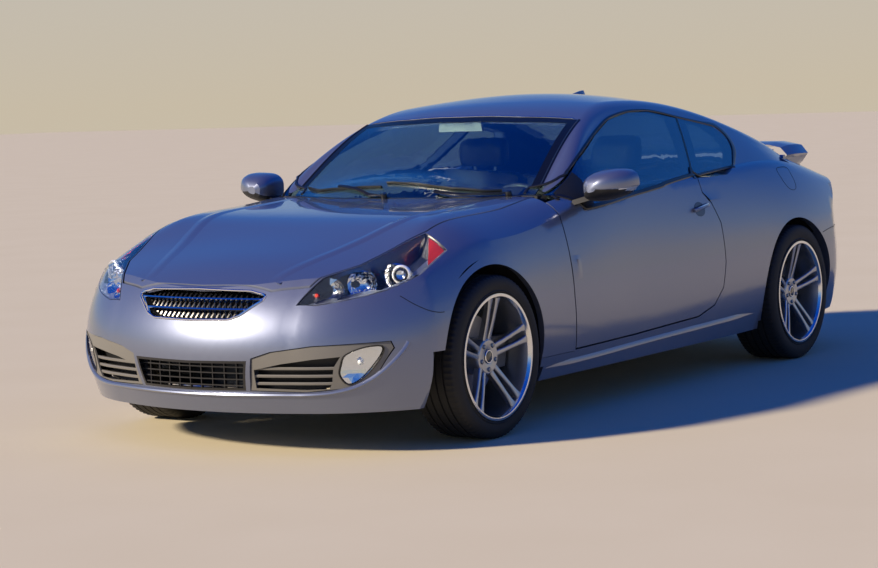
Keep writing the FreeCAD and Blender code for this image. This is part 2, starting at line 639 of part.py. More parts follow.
# Sections of the mirror's shell from the glass forward: x, inner y, outer y, low z, high z, corner.
MIRROR = [(612, 884, 1072, 918, 1040, 34), (640, 880, 1080, 914, 1044, 40), (680, 884, 1066, 920, 1036, 36),
          (708, 900, 1020, 938, 1012, 24)]
shells = []
for x, y_in, y_out, low, high, c in MIRROR:
    rim = [(y_in + c, low), (y_out - c, low), (y_out, low + c), (y_out, high - c), (y_out - c, high),
           (y_in + c, high), (y_in, high - c), (y_in, low + c)]
    shells.append(Part.makePolygon([Vector(x, y, z) for y, z in rim + rim[:1]]))
stalk = prism([(830, 880), (960, 912), (960, 936), (830, 912)], "x", 650, 694)
mirror_piece = solid_of(Part.makeLoft(shells, True, True).fuse(stalk).cut([lower_outer, upper_outer]))
for name, turn in (("left", lambda s: s), ("right", mirrored)):
    feature(f"door_{name}", turn(door))
    feature(f"door_glass_{name}", turn(window))
    feature(f"door_mirror_{name}", turn(mirror_piece))

# Boot lid and the wing on it, on two goosenecks that reach round the edge of the rear window's ledge.
lid = solid_of(skin(prism(whole(BOOT), "z", LID_LOW, FAR, KEEP), void_26))
GOOSENECK = [
    (15, 0), (11, 11), (0, 15), (-11, 11), (-15, 0), (-10, -14), (2, -40), (2, -140), (-118, -140),
    (-128, -30), (-190, 40), (-150, -165), (28, -165), (28, -40),
]
neck = prism([(HINGE_BOOT.x + dx, HINGE_BOOT.z + dz) for dx, dz in GOOSENECK], "y",
             HINGE_BOOT.y - 8, HINGE_BOOT.y + 8)
bore = rod_shape((HINGE_BOOT.x, 0, HINGE_BOOT.z), (HINGE_BOOT.x, 900, HINGE_BOOT.z), BOOT_PIN + RUN_MM)
neck = neck.cut(bore)
over_lid = Part.makeBox(400, 60, 200, Vector(BOOT_X - 399, 510, 900))
neck = neck.cut(lower_outer.cut(thin_inner(WALL_TOP - 2)).common(over_lid))
lid = lid.fuse([neck, mirrored(neck)])
feature("boot_lid", solid_of(lid))
chord, tall, half = (number(size(n)) for n in ("wing_chord", "wing_height", "wing_half"))
# Stations along the left half of the wing: y and drop of the blade's top, lean, chord share and thickness.
WING = [
    (0, 0, 0, 1, 30), (half - 130, 8, 4, 1, 28), (half - 56, 26, 30, 0.98, 27),
    (half - 12, 74, 74, 0.94, 26), (half - 40, 122, 112, 0.9, 28), (half - 86, 168, 122, 0.86, 32),
]
sections = []
for y, drop, lean, share, thick in WING:
    out, up = math.sin(math.radians(lean)), math.cos(math.radians(lean))
    long, rear = chord * share, X_TAIL + 150 + drop * 0.2
    foil = [(0, -6), (long * 0.3, 0), (long * 0.7, -2), (long, -thick * 0.5), (long * 0.7, -thick),
            (long * 0.3, -thick * 0.8)]
    foil = [Vector(rear + dx, y + t * out, tall - drop + t * up) for dx, t in foil]
    sections.append(Part.makePolygon(foil + foil[:1]))
blade = Part.makeLoft(sections, True, True)
feature("rear_wing", solid_of(blade.fuse(mirrored(blade)).cut(lower_outer)))

# Grilles: frames set in the bumper's openings, with bars bent to the nose's plan curve.
GRILLE_WALL = number(size("grille_wall"))
nose_box = Part.makeBox(620, 2000, 500, Vector(X_NOSE - 600, -1000, 230))
nose_shell = lower_outer.common(nose_box).cut(thin_inner(GRILLE_WALL))


def bent_plate(plan, inset, thick):
    """An upright plate bent to the circle through three plan points, set back from them."""
    (xa, ya), (xb, yb), (xc, yc) = plan
    curve = arc((xa, ya, 200), (xb, yb, 200), (xc, yc, 200)).Curve
    centre, radius = curve.Center, curve.Radius - inset
    return Part.makeCylinder(radius, 600, centre).cut(Part.makeCylinder(radius - thick, 600, centre))


def grille(opening, plan, inset, bars, posts, border):
    """A frame round an opening in the nose, with bars at heights and posts at half widths."""
    frame = prism(opening, "x", X_NOSE - 620, FAR).cut(prism(opening, "x", X_NOSE - 700, FAR, -border))
    frame = frame.common(nose_shell)
    slats = [Part.makeBox(700, 2000, tall, Vector(X_NOSE - 620, -1000, z - tall / 2)) for z, tall in bars]
    slats += [Part.makeBox(700, wide, 500, Vector(X_NOSE - 620, y - wide / 2, 230)) for y, wide in posts]
    window = prism(opening, "x", X_NOSE - 560, FAR, -border * 0.6)
    lattice = slats[0].multiFuse(slats[1:]).common(window).common(bent_plate(plan, inset, GRILLE_WALL - 10))
    return solid_of(frame.fuse(lattice))


corner_plan = [(X_NOSE - dx, y) for dx, y in NOSE_PLAN[:3]]
edge_dx, edge_y = NOSE_PLAN[0]
front_plan = [(X_NOSE - edge_dx, -edge_y), (X_NOSE, 0), (X_NOSE - edge_dx, edge_y)]
bars, posts = [(575, 9), (612, 9)], [(y, 3) for y in range(-240, 241, 60)]
upper = grille(mirror_outline(GRILLE), front_plan, 68, bars, posts, 12)
feature("upper_grille", solid_of(upper.cut(bonnet_hole)))
bars, posts = [(z, 5) for z in (288, 312, 336, 360)], [(y, 4) for y in range(-220, 221, 55)]
feature("lower_grille", grille(mirror_outline(INTAKE), front_plan, 22, bars, posts, 10))
side_grille = grille(SIDE_INTAKE, corner_plan, 18, [(z, 12) for z in (305, 345, 385)], [], 9)
FOG = (X_NOSE - 190, 640, 348)
fog_hole = rod_shape((X_NOSE - 330, FOG[1], FOG[2]), (X_NOSE, FOG[1], FOG[2]), 46)
fog_plate = bent_plate(corner_plan, 20, 40)
feature("side_grilles", both_sides(solid_of(side_grille.cut(fog_hole))))
feature("fog_lamps", both_sides(solid_of(fog_hole.common(fog_plate))))

# Floor: firewall, footwells, tunnel, seat step and boot floor.
floor = prism(FLOOR, "y", -1000, 1000)
TUNNEL_WALL = 25.0
tunnel = Part.makeBox(FIREWALL_X + 580, 2 * TUNNEL, TUNNEL_TOP - FLOOR_Z, Vector(-580, -TUNNEL, FLOOR_Z))
hollow = Part.makeBox(FIREWALL_X + 660, 2 * (TUNNEL - TUNNEL_WALL), TUNNEL_TOP - FLOOR_Z - TUNNEL_WALL + 1,
                      Vector(-640, -TUNNEL + TUNNEL_WALL, FLOOR_Z - 1))
floor = floor.fuse(tunnel).cut(hollow).common(lower_outer).common(prism(whole(FLOOR_PLAN), "z", 0, FAR))
floor = cut_all(floor, *with_mirror(*arches))
feature("floor_pan", solid_of(floor))
ledge_half = 500 - RUN_MM
ledge = lower_outer.common(Part.makeBox(22, 2 * ledge_half, 200, Vector(BOOT_X + 5, -ledge_half, 900)))
ledge = ledge.cut(thin_inner(18))
ledge = solid_of(ledge.cut([lid_hole, back_glass]))
feature("parcel_shelf", Part.makeCompound([prism(SHELF, "y", -620, 620), ledge]))

# Wheel liners and the front strut towers.
liners = []
for axle, height, inner, low in ((XF, ZF, 497, 300), (XR, ZR, LINER_INNER_REAR, 330)):
    shell = rod_shape((axle, inner, height), (axle, 876, height), LINER + LINER_WALL)
    shell = shell.cut(rod_shape((axle, inner + 6, height), (axle, 1000, height), LINER))
    shell = shell.common(Part.makeBox(1000, 500, 900, Vector(axle - 500, 450, low)))
    notch_at = Vector(axle - LINER_NOTCH, inner - 10, low)
    shell = shell.cut(Part.makeBox(2 * LINER_NOTCH, 40, height + 170 - low, notch_at))
    liners.append(shell)
top, foot = KING_TOP, KING_FOOT
tower = Part.makeBox(150, 160, 136, Vector(top.x - 75, top.y - 80, top.z - 128))
tower = tower.cut(Part.makeBox(134, 144, 130, Vector(top.x - 67, top.y - 72, top.z - 132)))
tower_hole = Part.makeBox(134, 144, 170, Vector(top.x - 67, top.y - 72, top.z - 190))
liners[0] = liners[0].cut(tower_hole).fuse(tower.cut(rod_shape((XF, 500, ZF), (XF, 1000, ZF), LINER + 3)))
liners[0] = liners[0].cut(rod_shape(foot, top + KING * 60, 9 + RUN_MM))
front_liner = solid_of(liners[0].cut(lower_outer.cut(void_26)))
rear_liner = solid_of(liners[1].cut(lower_outer.cut(void_40)))
left_liners = [front_liner, rear_liner]
feature("wheel_liners", Part.makeCompound(left_liners + [mirrored(liner) for liner in left_liners]))

# Front suspension: subframe with both lower arms, and a knuckle with its strut on each side.
ARM = [(XF - 170, 320), (XF - 46, 690), (XF - 24, 724), (XF + 24, 724), (XF + 46, 690), (XF + 140, 320)]
arm_shape = prism(ARM, "z", 198, 222)
arm_shape = arm_shape.cut(rod_shape(KING_FOOT - KING * 60, KING_FOOT + KING * 60, 9 + RUN_MM))
legs = Part.makeBox(XF + 560 - FIREWALL_X, 50, 90, Vector(FIREWALL_X, 420, 330))
struts_legs = Part.makeBox(70, 110, 70, Vector(XF - 35, 320, 262))
cross = Part.makeBox(300, 660, 70, Vector(XF - 150, -330, 205))
feature("front_subframe", solid_of(cross.fuse(with_mirror(arm_shape, legs, struts_legs))))

TRACK_F, TRACK_R = number(size("front_track")) / 2, number(size("rear_track")) / 2
SPINDLE = number(size("spindle_radius"))
DISC, DISC_WALL = number(size("disc_radius")), number(size("disc_wall"))
DISC_FACE = [number(size(n)) / 2 - 0.5 - number(size("dish")) - number(size("spoke_depth")) - 58
             for n in ("front_tyre_width", "rear_tyre_width")]


def calliper(x, y, z, side, disc_face):
    """A calliper over the disc, ahead of or behind the axle by the sign of side."""
    low, high = y - 104, y + disc_face + 26
    body = Part.makeBox(96, high - low, 130, Vector(side * 162 - 48, low, -65))
    body = body.cut(Part.makeBox(400, DISC_WALL + 12, 400, Vector(-200, y + disc_face - DISC_WALL - 6, -200)))
    around = rod_shape((0, low, 0), (0, high, 0), 222)
    bridge = around.cut(rod_shape((0, low, 0), (0, high, 0), DISC + 8))
    bridge = bridge.common(Part.makeBox(120, high - low, 130, Vector(side * 190 - 60, low, -65)))
    body = body.common(around.cut(rod_shape((0, low, 0), (0, high, 0), 128))).fuse(bridge)
    body.translate(Vector(x, 0, z))
    return body


def knuckle(x, y, z, side, disc_face):
    """Stub axle, upright and calliper of one left wheel."""
    stub = rod_shape((x, y - 100, z), (x, y + 52, z), SPINDLE)
    upright = Part.makeBox(110, 44, 190, Vector(x - 55, y - 132, z - 100))
    link = Part.makeBox(150, 20, 60, Vector(x if side > 0 else x - 150, y - 124, z - 30))
    return stub.fuse([upright, link, calliper(x, y, z, side, disc_face)])


front_knuckle = knuckle(XF, TRACK_F, ZF, -1, DISC_FACE[0])
strut = rod_shape(KING_FOOT + KING * 160, KING_TOP - KING * 150, 28)
strut = strut.fuse(rod_shape(KING_TOP - KING * 160, KING_TOP + KING * 20, 9))
ball = rod_shape(KING_FOOT - KING * 20, KING_FOOT + KING * 60, 9)
neck = rod_shape(KING_FOOT + KING * 20, KING_FOOT + KING * 70, 22)
front_knuckle = solid_of(front_knuckle.fuse([strut, ball, neck]))
feature("front_knuckle_left", front_knuckle)
feature("front_knuckle_right", mirrored(front_knuckle))
feature("rear_knuckles", both_sides(solid_of(knuckle(XR, TRACK_R, ZR, 1, DISC_FACE[1]))))

# Rear suspension: subframe, links and dampers.
LINK_END = 675.5  # where the links meet the knuckles
cross_front = Part.makeBox(70, 700, 60, Vector(XR + 130, -350, 312))
cross_rear = Part.makeBox(70, 700, 60, Vector(XR - 220, -350, 262))
rail = Part.makeBox(420, 60, 52, Vector(XR - 220, 300, 262))
low_arm = prism([(XR - 190, 330), (XR - 50, LINK_END), (XR + 50, LINK_END), (XR + 150, 330)], "z", 252, 276)
top_link = prism([(350, 290), (LINK_END, 370), (LINK_END, 394), (350, 312)], "x", XR + 30, XR + 55)
damper = rod_shape((XR - 90, 590, 270), (XR - 90, 590, 400), 42)
rear = cross_front.fuse([cross_rear, *with_mirror(rail, low_arm, top_link, damper)])
feature("rear_suspension", solid_of(rear))

# Driveline: gearbox, propeller shaft, final drive and half shafts.
gearbox = doc.addObject("Part::Cone", "gearbox")
for prop, value in (("Radius1", 135), ("Radius2", 85), ("Height", 420)):
    bind(gearbox, prop, value)
gearbox.Placement.Rotation = FreeCAD.Rotation(Vector(0, 1, 0), -90)
place(gearbox, FRONT_AXLE - 330, 0, 320)
rear_track, wheel_z = size("rear_track"), size("rear_tyre_radius")
fused("driveline", [
    gearbox,
    rod("propeller_shaft", REAR_AXLE + 120, 0, 282, size("shaft_radius"), size("wheelbase") - 840, "x"),
    block("final_drive", REAR_AXLE - 110, -100, 258, 235, 200, 136),
    rod("half_shafts", REAR_AXLE, -(rear_track / 2 - 132), wheel_z, 20, rear_track - 264)])
fused("engine_block", [block("crankcase", FRONT_AXLE - 330, -200, 275, 560, 400, 330),
                       block("heads", FRONT_AXLE - 310, -280, 600, 520, 560, 190)])
finish("radiator", block("radiator", NOSE - 360, -415, 235, 46, 830, 400))
finish("fuel_tank", block("fuel_tank", -960, 130, SILL + 15, 330, 440, 115))

# Exhaust: one pipe beside the propeller shaft, a cross silencer and two tail pipes.
PIPE = number(size("exhaust_radius"))


def bent_rod(points, radius, bend):
    """A round rod along straight runs joined by arcs of one bend radius."""
    edges, start = [], Vector(points[0])
    for before, at, after in zip(points, points[1:], points[2:]):
        before, at, after = Vector(before), Vector(at), Vector(after)
        back, ahead = (before - at).normalize(), (after - at).normalize()
        half_turn = (math.pi - back.getAngle(ahead)) / 2
        reach = bend * math.tan(half_turn)
        middle = at + (back + ahead).normalize() * (bend / math.cos(half_turn) - bend)
        edges += [line(start, at + back * reach), arc(at + back * reach, middle, at + ahead * reach)]
        start = at + ahead * reach
    edges.append(line(start, points[-1]))
    path = Part.Wire(edges)
    ring = Part.Wire(Part.makeCircle(radius, Vector(points[0]), Vector(points[1]) - Vector(points[0])))
    return path.makePipeShell([ring], True, False)


PIPE_Z, SILENCER_X = 226.0, X_TAIL + 340
pipe = bent_rod([(XF - 755, -66, PIPE_Z), (-700, -66, PIPE_Z), (-960, -240, PIPE_Z), (XR - 275, -240, PIPE_Z),
                 (SILENCER_X, -240, PIPE_Z + 40)], PIPE, 150)
silencer = Part.makeBox(200, 1160, 120, Vector(X_TAIL + 150, -580, 250))
hangers = [Part.makeBox(40, 24, 40, Vector(X_TAIL + 230, y, 360)) for y in (-412, 388)]
pipe = pipe.fuse([silencer, *hangers])
for y in (-TIP_Y, TIP_Y):
    pipe = pipe.fuse(rod_shape((X_TAIL + 160, y, TIP_Z), (X_TAIL + 30, y, TIP_Z), TIP))
    pipe = pipe.cut(rod_shape((X_TAIL + 90, y, TIP_Z), (X_TAIL, y, TIP_Z), TIP - 4))
feature("exhaust", solid_of(pipe))

# Cabin.
dash = prism(DASH, "y", -DOOR_INNER + 12, DOOR_INNER - 12)
dash = dash.cut(with_mirror(Part.makeBox(600, 200, 200, Vector(FIREWALL_X - 600, 640, 838))))
hood = prism([(430, 880), (560, 965), (640, 930), (560, 880)], "y", 230, 500)
COLUMN = Vector(math.cos(math.radians(24)), 0, -math.sin(math.radians(24)))
WHEEL_AT = Vector(330, number(size("seat_offset")), 790)
column = rod_shape(WHEEL_AT + COLUMN * 20, WHEEL_AT + COLUMN * 190, 34)
pin = rod_shape(WHEEL_AT - COLUMN * 20, WHEEL_AT + COLUMN * 30, 10)
feature("dashboard", solid_of(dash.fuse([hood, column, pin])))
feature("centre_console", solid_of(prism(CONSOLE, "y", -95, 95)))
seat_half = number(size("seat_width")) / 2
seat = prism(SEAT, "y", SEAT_Y - seat_half, SEAT_Y + seat_half)
base = Part.makeBox(460, 380, 100, Vector(-290, SEAT_Y - 190, FLOOR_Z + PAN))
rest = prism(HEADREST, "y", SEAT_Y - 130, SEAT_Y + 130)
posts = [rod_shape((-470, SEAT_Y + dy, 960), (-478, SEAT_Y + dy, 1040), 8) for dy in (-60, 60)]
feature("front_seats", both_sides(solid_of(seat.fuse([base, rest, *posts]))))
feature("rear_seat", solid_of(prism(REAR_SEAT, "y", -580, 580)))
inside_mirror = prism([(-120, 1215), (120, 1215), (112, 1275), (-112, 1275)], "x", 285, 305)
foot = rod_shape((295, 0, 1270), (300, 0, 1320), 10).cut(upper_outer.cut(upper_glass))
feature("inside_mirror", solid_of(inside_mirror.fuse(foot).common(upper_glass)))

wheel_ring = Part.makeTorus(number(size("steering_radius")), number(size("steering_grip")))
boss = Part.makeCylinder(56, 40, Vector(0, 0, -12))
spokes = [Part.makeBox(176, 30, 14, Vector(0, -15, -2)), Part.makeBox(176, 30, 14, Vector(-176, -15, -2)),
          Part.makeBox(34, 176, 14, Vector(-17, -176, -2))]
steering = wheel_ring.fuse([boss, *spokes])
steering = steering.cut(Part.makeCylinder(10 + RUN_MM, 100, Vector(0, 0, -60)))
item = feature("steering_wheel", solid_of(steering))
item.Placement = FreeCAD.Placement(WHEEL_AT, FreeCAD.Rotation(Vector(0, 0, 1), -COLUMN))

# Wheels.
def sketch_outline(body, plane_role, points):
    """A closed polygon in a body's origin plane, every corner held by the sheet."""
    plane = next(f for f in body.Origin.OriginFeatures if f.Role == plane_role)
    sketch = body.newObject("Sketcher::SketchObject", body.Name + "_sketch")
    sketch.AttachmentSupport = [(plane, "")]
    sketch.MapMode = "FlatFace"
    at = [Vector(number(a), number(b), 0) for a, b in points]
    count = len(sketch.Geometry)
    for i, start in enumerate(at):
        sketch.addGeometry(Part.LineSegment(start, at[(i + 1) % len(at)]), False)
    for i in range(len(at)):
        sketch.addConstraint(Sketcher.Constraint("Coincident", count + i, 2, count + (i + 1) % len(at), 1))
    for i, corner in enumerate(points):
        for kind, length in zip(("DistanceX", "DistanceY"), corner):
            held = sketch.addConstraint(Sketcher.Constraint(kind, count + i, 1, number(length)))
            if isinstance(length, Size):
                sketch.setExpression(f"Constraints[{held}]", length.text)
    return sketch


def turned(label, profile):
    """A body of revolution about its own Z axis, from a profile of radius and height."""
    body = doc.addObject("PartDesign::Body", label)
    sketch = sketch_outline(body, "XZ_Plane", profile)
    spin = body.newObject("PartDesign::Revolution", label + "_turn")
    spin.Profile = sketch
    spin.ReferenceAxis = (sketch, ["V_Axis"])
    spin.Angle = 360
    body.Tip = spin
    return body


def windows(body, outlines, count):
    """Cuts a group of windows through the spoke disc and repeats it round the hub."""
    plane = next(f for f in body.Origin.OriginFeatures if f.Role == "XY_Plane")
    sketch = body.newObject("Sketcher::SketchObject", body.Name + "_windows")
    sketch.AttachmentSupport = [(plane, "")]
    sketch.MapMode = "FlatFace"
    for corners in outlines:
        at = [Vector(r * math.cos(math.radians(a)), r * math.sin(math.radians(a)), 0) for r, a in corners]
        for i, start in enumerate(at):
            sketch.addGeometry(Part.LineSegment(start, at[(i + 1) % len(at)]), False)
    pocket = body.newObject("PartDesign::Pocket", body.Name + "_pocket")
    pocket.Profile = sketch
    pocket.Type = 1
    pocket.Midplane = True
    body.Tip = pocket
    doc.recompute()
    pattern = body.newObject("PartDesign::PolarPattern", body.Name + "_pattern")
    pattern.Originals = [pocket]
    pattern.Axis = (sketch, ["N_Axis"])
    pattern.Angle = 360
    pattern.Occurrences = count
    body.Tip = pattern
    doc.recompute()


def wheel(place_name, axle, track, radius, width, side):
    half = width / 2 - 7.5
    seat, flange = size("rim_radius"), size("rim_flange")
    barrel = seat - size("rim_wall")
    bore = size("spindle_radius") + RUN
    hub = size("hub_radius")
    face = half + 7 - size("dish")
    back = face - size("spoke_depth") - 34
    lip = half + 7
    rim = turned(f"rim_{place_name}", [
        (bore, back), (hub, back), (hub + 34, face - 20), (barrel, lip - 44), (barrel, -lip), (flange, -lip),
        (flange, -half), (seat, -half), (seat, half), (flange, half), (flange, lip), (barrel + 4, lip),
        (barrel - 2, lip - 14), (hub, face), (bore, face)])
    windows(rim, SPOKE_WINDOWS, 5)
    tyre = turned(f"tyre_{place_name}", [
        (seat, -half), (flange + 1, -half), (radius - 38, -half - 7.5), (radius, -half + 22),
        (radius, half - 22), (radius - 38, half + 7.5), (flange + 1, half), (seat, half)])
    wall = size("disc_wall")
    ring = back - 24
    disc = turned(f"brake_disc_{place_name}", [
        (bore, back - 10), (hub - 8, back - 10), (hub - 8, ring - wall), (size("disc_radius"), ring - wall),
        (size("disc_radius"), ring), (hub, ring), (hub, back), (bore, back)])
    for body in (rim, tyre, disc):
        body.Placement.Rotation = FreeCAD.Rotation(Vector(1, 0, 0), -90 * side)
        place(body, axle, track * 0.5 * side, radius)
        finish(body.Name, body)


for end, axle, track, radius, width in (
        ("front", FRONT_AXLE, size("front_track"), size("front_tyre_radius"), size("front_tyre_width")),
        ("rear", REAR_AXLE, size("rear_track"), size("rear_tyre_radius"), size("rear_tyre_width"))):
    for name, side in (("left", 1), ("right", -1)):
        wheel(f"{end}_{name}", axle, track, radius, width, side)

doc.recompute()
for item in doc.Objects:
    if "Invalid" in item.State or "Error" in item.State:
        raise RuntimeError(f"{item.Label}: {item.State}")
for label, item in finished.items():
    shape = item.Shape
    if shape.isNull() or not shape.isValid():
        raise RuntimeError(f"{label} has no valid shape")
    print(label, len(shape.Solids), "solids", round(shape.Volume / 1e6, 2), "litres")
os.makedirs("parts", exist_ok=True)
for label, item in finished.items():
    item.Shape.exportStep(f"parts/{label}.step")
print(len(finished), "pieces")
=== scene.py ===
"""The looks of a two-door coupe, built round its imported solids. Lengths are in metres unless a name or a
comment says mm."""
import bmesh
import bpy
import math
from mathutils import Matrix, Vector
from mathutils.bvhtree import BVHTree
from mathutils.geometry import delaunay_2d_cdt


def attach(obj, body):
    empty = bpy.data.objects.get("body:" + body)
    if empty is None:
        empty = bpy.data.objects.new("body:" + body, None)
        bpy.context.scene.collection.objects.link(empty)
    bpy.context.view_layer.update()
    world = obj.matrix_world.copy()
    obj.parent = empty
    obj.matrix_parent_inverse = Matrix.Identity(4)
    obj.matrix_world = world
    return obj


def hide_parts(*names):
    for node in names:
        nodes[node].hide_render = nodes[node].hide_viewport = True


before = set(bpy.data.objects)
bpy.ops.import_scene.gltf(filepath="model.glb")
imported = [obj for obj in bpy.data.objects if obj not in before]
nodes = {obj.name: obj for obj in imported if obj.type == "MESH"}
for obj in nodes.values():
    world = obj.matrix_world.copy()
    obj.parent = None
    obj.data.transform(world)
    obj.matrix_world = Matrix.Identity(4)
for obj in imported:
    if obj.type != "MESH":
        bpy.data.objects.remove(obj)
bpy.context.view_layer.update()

# Camera: it stands where the photograph was taken from, low at the front left and some ten metres away, with a long
# lens and the photograph's slight roll.
STAND = (8.96447, 5.72334, 1.38311)
LENS_MM, SENSOR_MM = 91.43, 36
azimuth, elevation, roll = (math.radians(a) for a in (214.1436, -4.80295, -1.92351))
ahead = Vector((math.cos(elevation) * math.cos(azimuth), math.cos(elevation) * math.sin(azimuth),
                math.sin(elevation)))
level = ahead.cross(Vector((0, 0, 1))).normalized()
upright = level.cross(ahead)
across = level * math.cos(roll) + upright * math.sin(roll)
up = upright * math.cos(roll) - level * math.sin(roll)
camera = bpy.data.objects.new("camera", bpy.data.cameras.new("camera"))
bpy.context.scene.collection.objects.link(camera)
camera.data.lens, camera.data.sensor_width = LENS_MM, SENSOR_MM
camera.data.clip_end = 200
camera.matrix_world = Matrix.Translation(STAND) @ Matrix((across, up, -ahead)).transposed().to_4x4()
bpy.context.scene.camera = camera
bpy.context.scene.view_settings.view_transform = "Standard"


# Floor and daylight: a pale concrete floor under a clear sky that is deeper blue overhead and hazy near the ground.
# A low, warm sun stands in front of the car, so that its nose is lit and its side is in open shade.
def rgb(code):
    """The linear colour of an sRGB hex value."""
    parts = [int(code[i:i + 2], 16) / 255 for i in (1, 3, 5)]
    return [p / 12.92 if p <= 0.04045 else ((p + 0.055) / 1.055) ** 2.4 for p in parts] + [1.0]


def add(tree, kind, settings=None, links=None):
    """Adds one node with its properties, socket values and links from other nodes' sockets."""
    node = tree.nodes.new(kind)
    for name, value in (settings or {}).items():
        if isinstance(name, int) or name in node.inputs:
            node.inputs[name].default_value = value
        else:
            setattr(node, name, value)
    for name, source in (links or {}).items():
        tree.links.new(source, node.inputs[name])
    return node


def fresh_tree(name):
    """A new material and its empty node tree."""
    material = bpy.data.materials.new(name)
    material.use_nodes = True
    material.node_tree.nodes.clear()
    return material, material.node_tree


HAZE = ((0.05, "#d8cfc0"), (0.14, "#9dbbe0"), (0.32, "#327cda"))
world = bpy.data.worlds.new("clear sky")
bpy.context.scene.world = world
world.use_nodes = True
tree = world.node_tree
tree.nodes.clear()
at = add(tree, "ShaderNodeTexCoord")
height = add(tree, "ShaderNodeSeparateXYZ", links={0: at.outputs["Generated"]})
ramp = add(tree, "ShaderNodeValToRGB", links={0: height.outputs["Z"]})
ramp.color_ramp.elements[0].color = rgb("#dccfb8")
ramp.color_ramp.elements[1].color = rgb("#0648bc")
ramp.color_ramp.elements[1].position = 0.80
for place, code in HAZE:
    ramp.color_ramp.elements.new(place).color = rgb(code)
sky = add(tree, "ShaderNodeBackground", {"Strength": 0.80}, {"Color": ramp.outputs[0]})
add(tree, "ShaderNodeOutputWorld", links={"Surface": sky.outputs[0]})

# Dry concrete is chalky and matt, with faint cloudy patches a metre across and hardly any shine.
FLOOR_HALF = 90
concrete, tree = fresh_tree("dry concrete")
at = add(tree, "ShaderNodeTexCoord")
grain = add(tree, "ShaderNodeTexNoise", {"Scale": 1.2, "Detail": 8.0}, {"Vector": at.outputs["Object"]})
tone = add(tree, "ShaderNodeMix", {"data_type": "RGBA", 6: rgb("#cfc4a8"), 7: rgb("#d6ccb2")},
           {0: grain.outputs["Fac"]})
skin = add(tree, "ShaderNodeBsdfPrincipled", {"Roughness": 1.0, "Specular IOR Level": 0.1},
           {"Base Color": tone.outputs[2]})
add(tree, "ShaderNodeOutputMaterial", links={"Surface": skin.outputs[0]})
floor_mesh = bpy.data.meshes.new("floor")
corners = [(x * FLOOR_HALF, y * FLOOR_HALF, 0) for x, y in ((-1, -1), (1, -1), (1, 1), (-1, 1))]
floor_mesh.from_pydata(corners, [], [(0, 1, 2, 3)])
floor = bpy.data.objects.new("floor", floor_mesh)
bpy.context.scene.collection.objects.link(floor)
floor.data.materials.append(concrete)

SUNBEAM, SUN_STRENGTH, SUN_WIDTH = Vector((-0.74, 0.46, -0.46)), 6.0, math.radians(5)
sun = bpy.data.lights.new("low_sun", "SUN")
sun.energy, sun.angle, sun.color = SUN_STRENGTH, SUN_WIDTH, rgb("#ffedd2")[:3]
light = bpy.data.objects.new("low_sun", sun)
light.rotation_euler = SUNBEAM.to_track_quat("-Z", "Y").to_euler()
bpy.context.scene.collection.objects.link(light)


# Body: pressed steel panels and moulded bumper covers under one metallic lacquer, fitted panel by panel with a shut
# line between them. Each keeps its own solid, and only its real creases stay sharp.
def finish_of(name, code, metallic, roughness, grain_mm, vary=0.0, bump_mm=0.0, coat=0.0, stretch=None, other=None):
    """A finish whose colour, gloss and relief vary with a grain of a real size in millimetres."""
    material, tree = fresh_tree(name)
    at = add(tree, "ShaderNodeTexCoord")
    place = add(tree, "ShaderNodeMapping", {"Scale": stretch or (1, 1, 1)}, {"Vector": at.outputs["Object"]})
    grain = add(tree, "ShaderNodeTexNoise", {"Scale": 1000 / grain_mm, "Detail": 3.0}, {"Vector": place.outputs[0]})
    dark = [c * (1 - vary) for c in rgb(code)[:3]] + [1]
    light = rgb(other) if other else [min(1, c * (1 + vary)) for c in rgb(code)[:3]] + [1]
    tone = add(tree, "ShaderNodeMix", {"data_type": "RGBA", 6: dark, 7: light}, {0: grain.outputs["Fac"]})
    gloss = add(tree, "ShaderNodeMapRange", {3: roughness * 0.88, 4: min(1.0, roughness * 1.12)},
                {0: grain.outputs["Fac"]})
    links = {"Base Color": tone.outputs[2], "Roughness": gloss.outputs[0]}
    if bump_mm:
        relief = add(tree, "ShaderNodeBump", {"Distance": bump_mm / 1000, "Strength": 0.6},
                     {"Height": grain.outputs["Fac"]})
        links["Normal"] = relief.outputs[0]
    skin = add(tree, "ShaderNodeBsdfPrincipled",
               {"Metallic": metallic, "Coat Weight": coat, "Coat Roughness": 0.03}, links)
    add(tree, "ShaderNodeOutputMaterial", links={"Surface": skin.outputs[0]})
    return material


# A modifier's node group that joins split corners and keeps only real creases sharp.
WELD, CREASE = 0.00002, math.radians(24)
creases = bpy.data.node_groups.new("keep_creases", "GeometryNodeTree")
creases.interface.new_socket("Geometry", in_out="INPUT", socket_type="NodeSocketGeometry")
creases.interface.new_socket("Geometry", in_out="OUTPUT", socket_type="NodeSocketGeometry")
start = add(creases, "NodeGroupInput")
joined = add(creases, "GeometryNodeMergeByDistance", {"Distance": WELD}, {"Geometry": start.outputs[0]})
angle = add(creases, "GeometryNodeInputMeshEdgeAngle")
crease = add(creases, "FunctionNodeCompare", {"data_type": "FLOAT", "operation": "LESS_EQUAL", 1: CREASE},
             {0: angle.outputs[0]})
faces = add(creases, "GeometryNodeSetShadeSmooth", {"domain": "FACE"}, {"Geometry": joined.outputs[0]})
edges = add(creases, "GeometryNodeSetShadeSmooth", {"domain": "EDGE"},
            {"Geometry": faces.outputs[0], "Shade Smooth": crease.outputs[0]})
add(creases, "NodeGroupOutput", links={0: edges.outputs[0]})


def dress(node, material):
    """Gives a carried-over solid its finish and smooth shading between its creases."""
    item = nodes[node]
    item.data.materials.clear()
    item.data.materials.append(material)
    if "custom_normal" in item.data.attributes:
        item.data.attributes.remove(item.data.attributes["custom_normal"])
    item.modifiers.new("creases", "NODES").node_group = creases


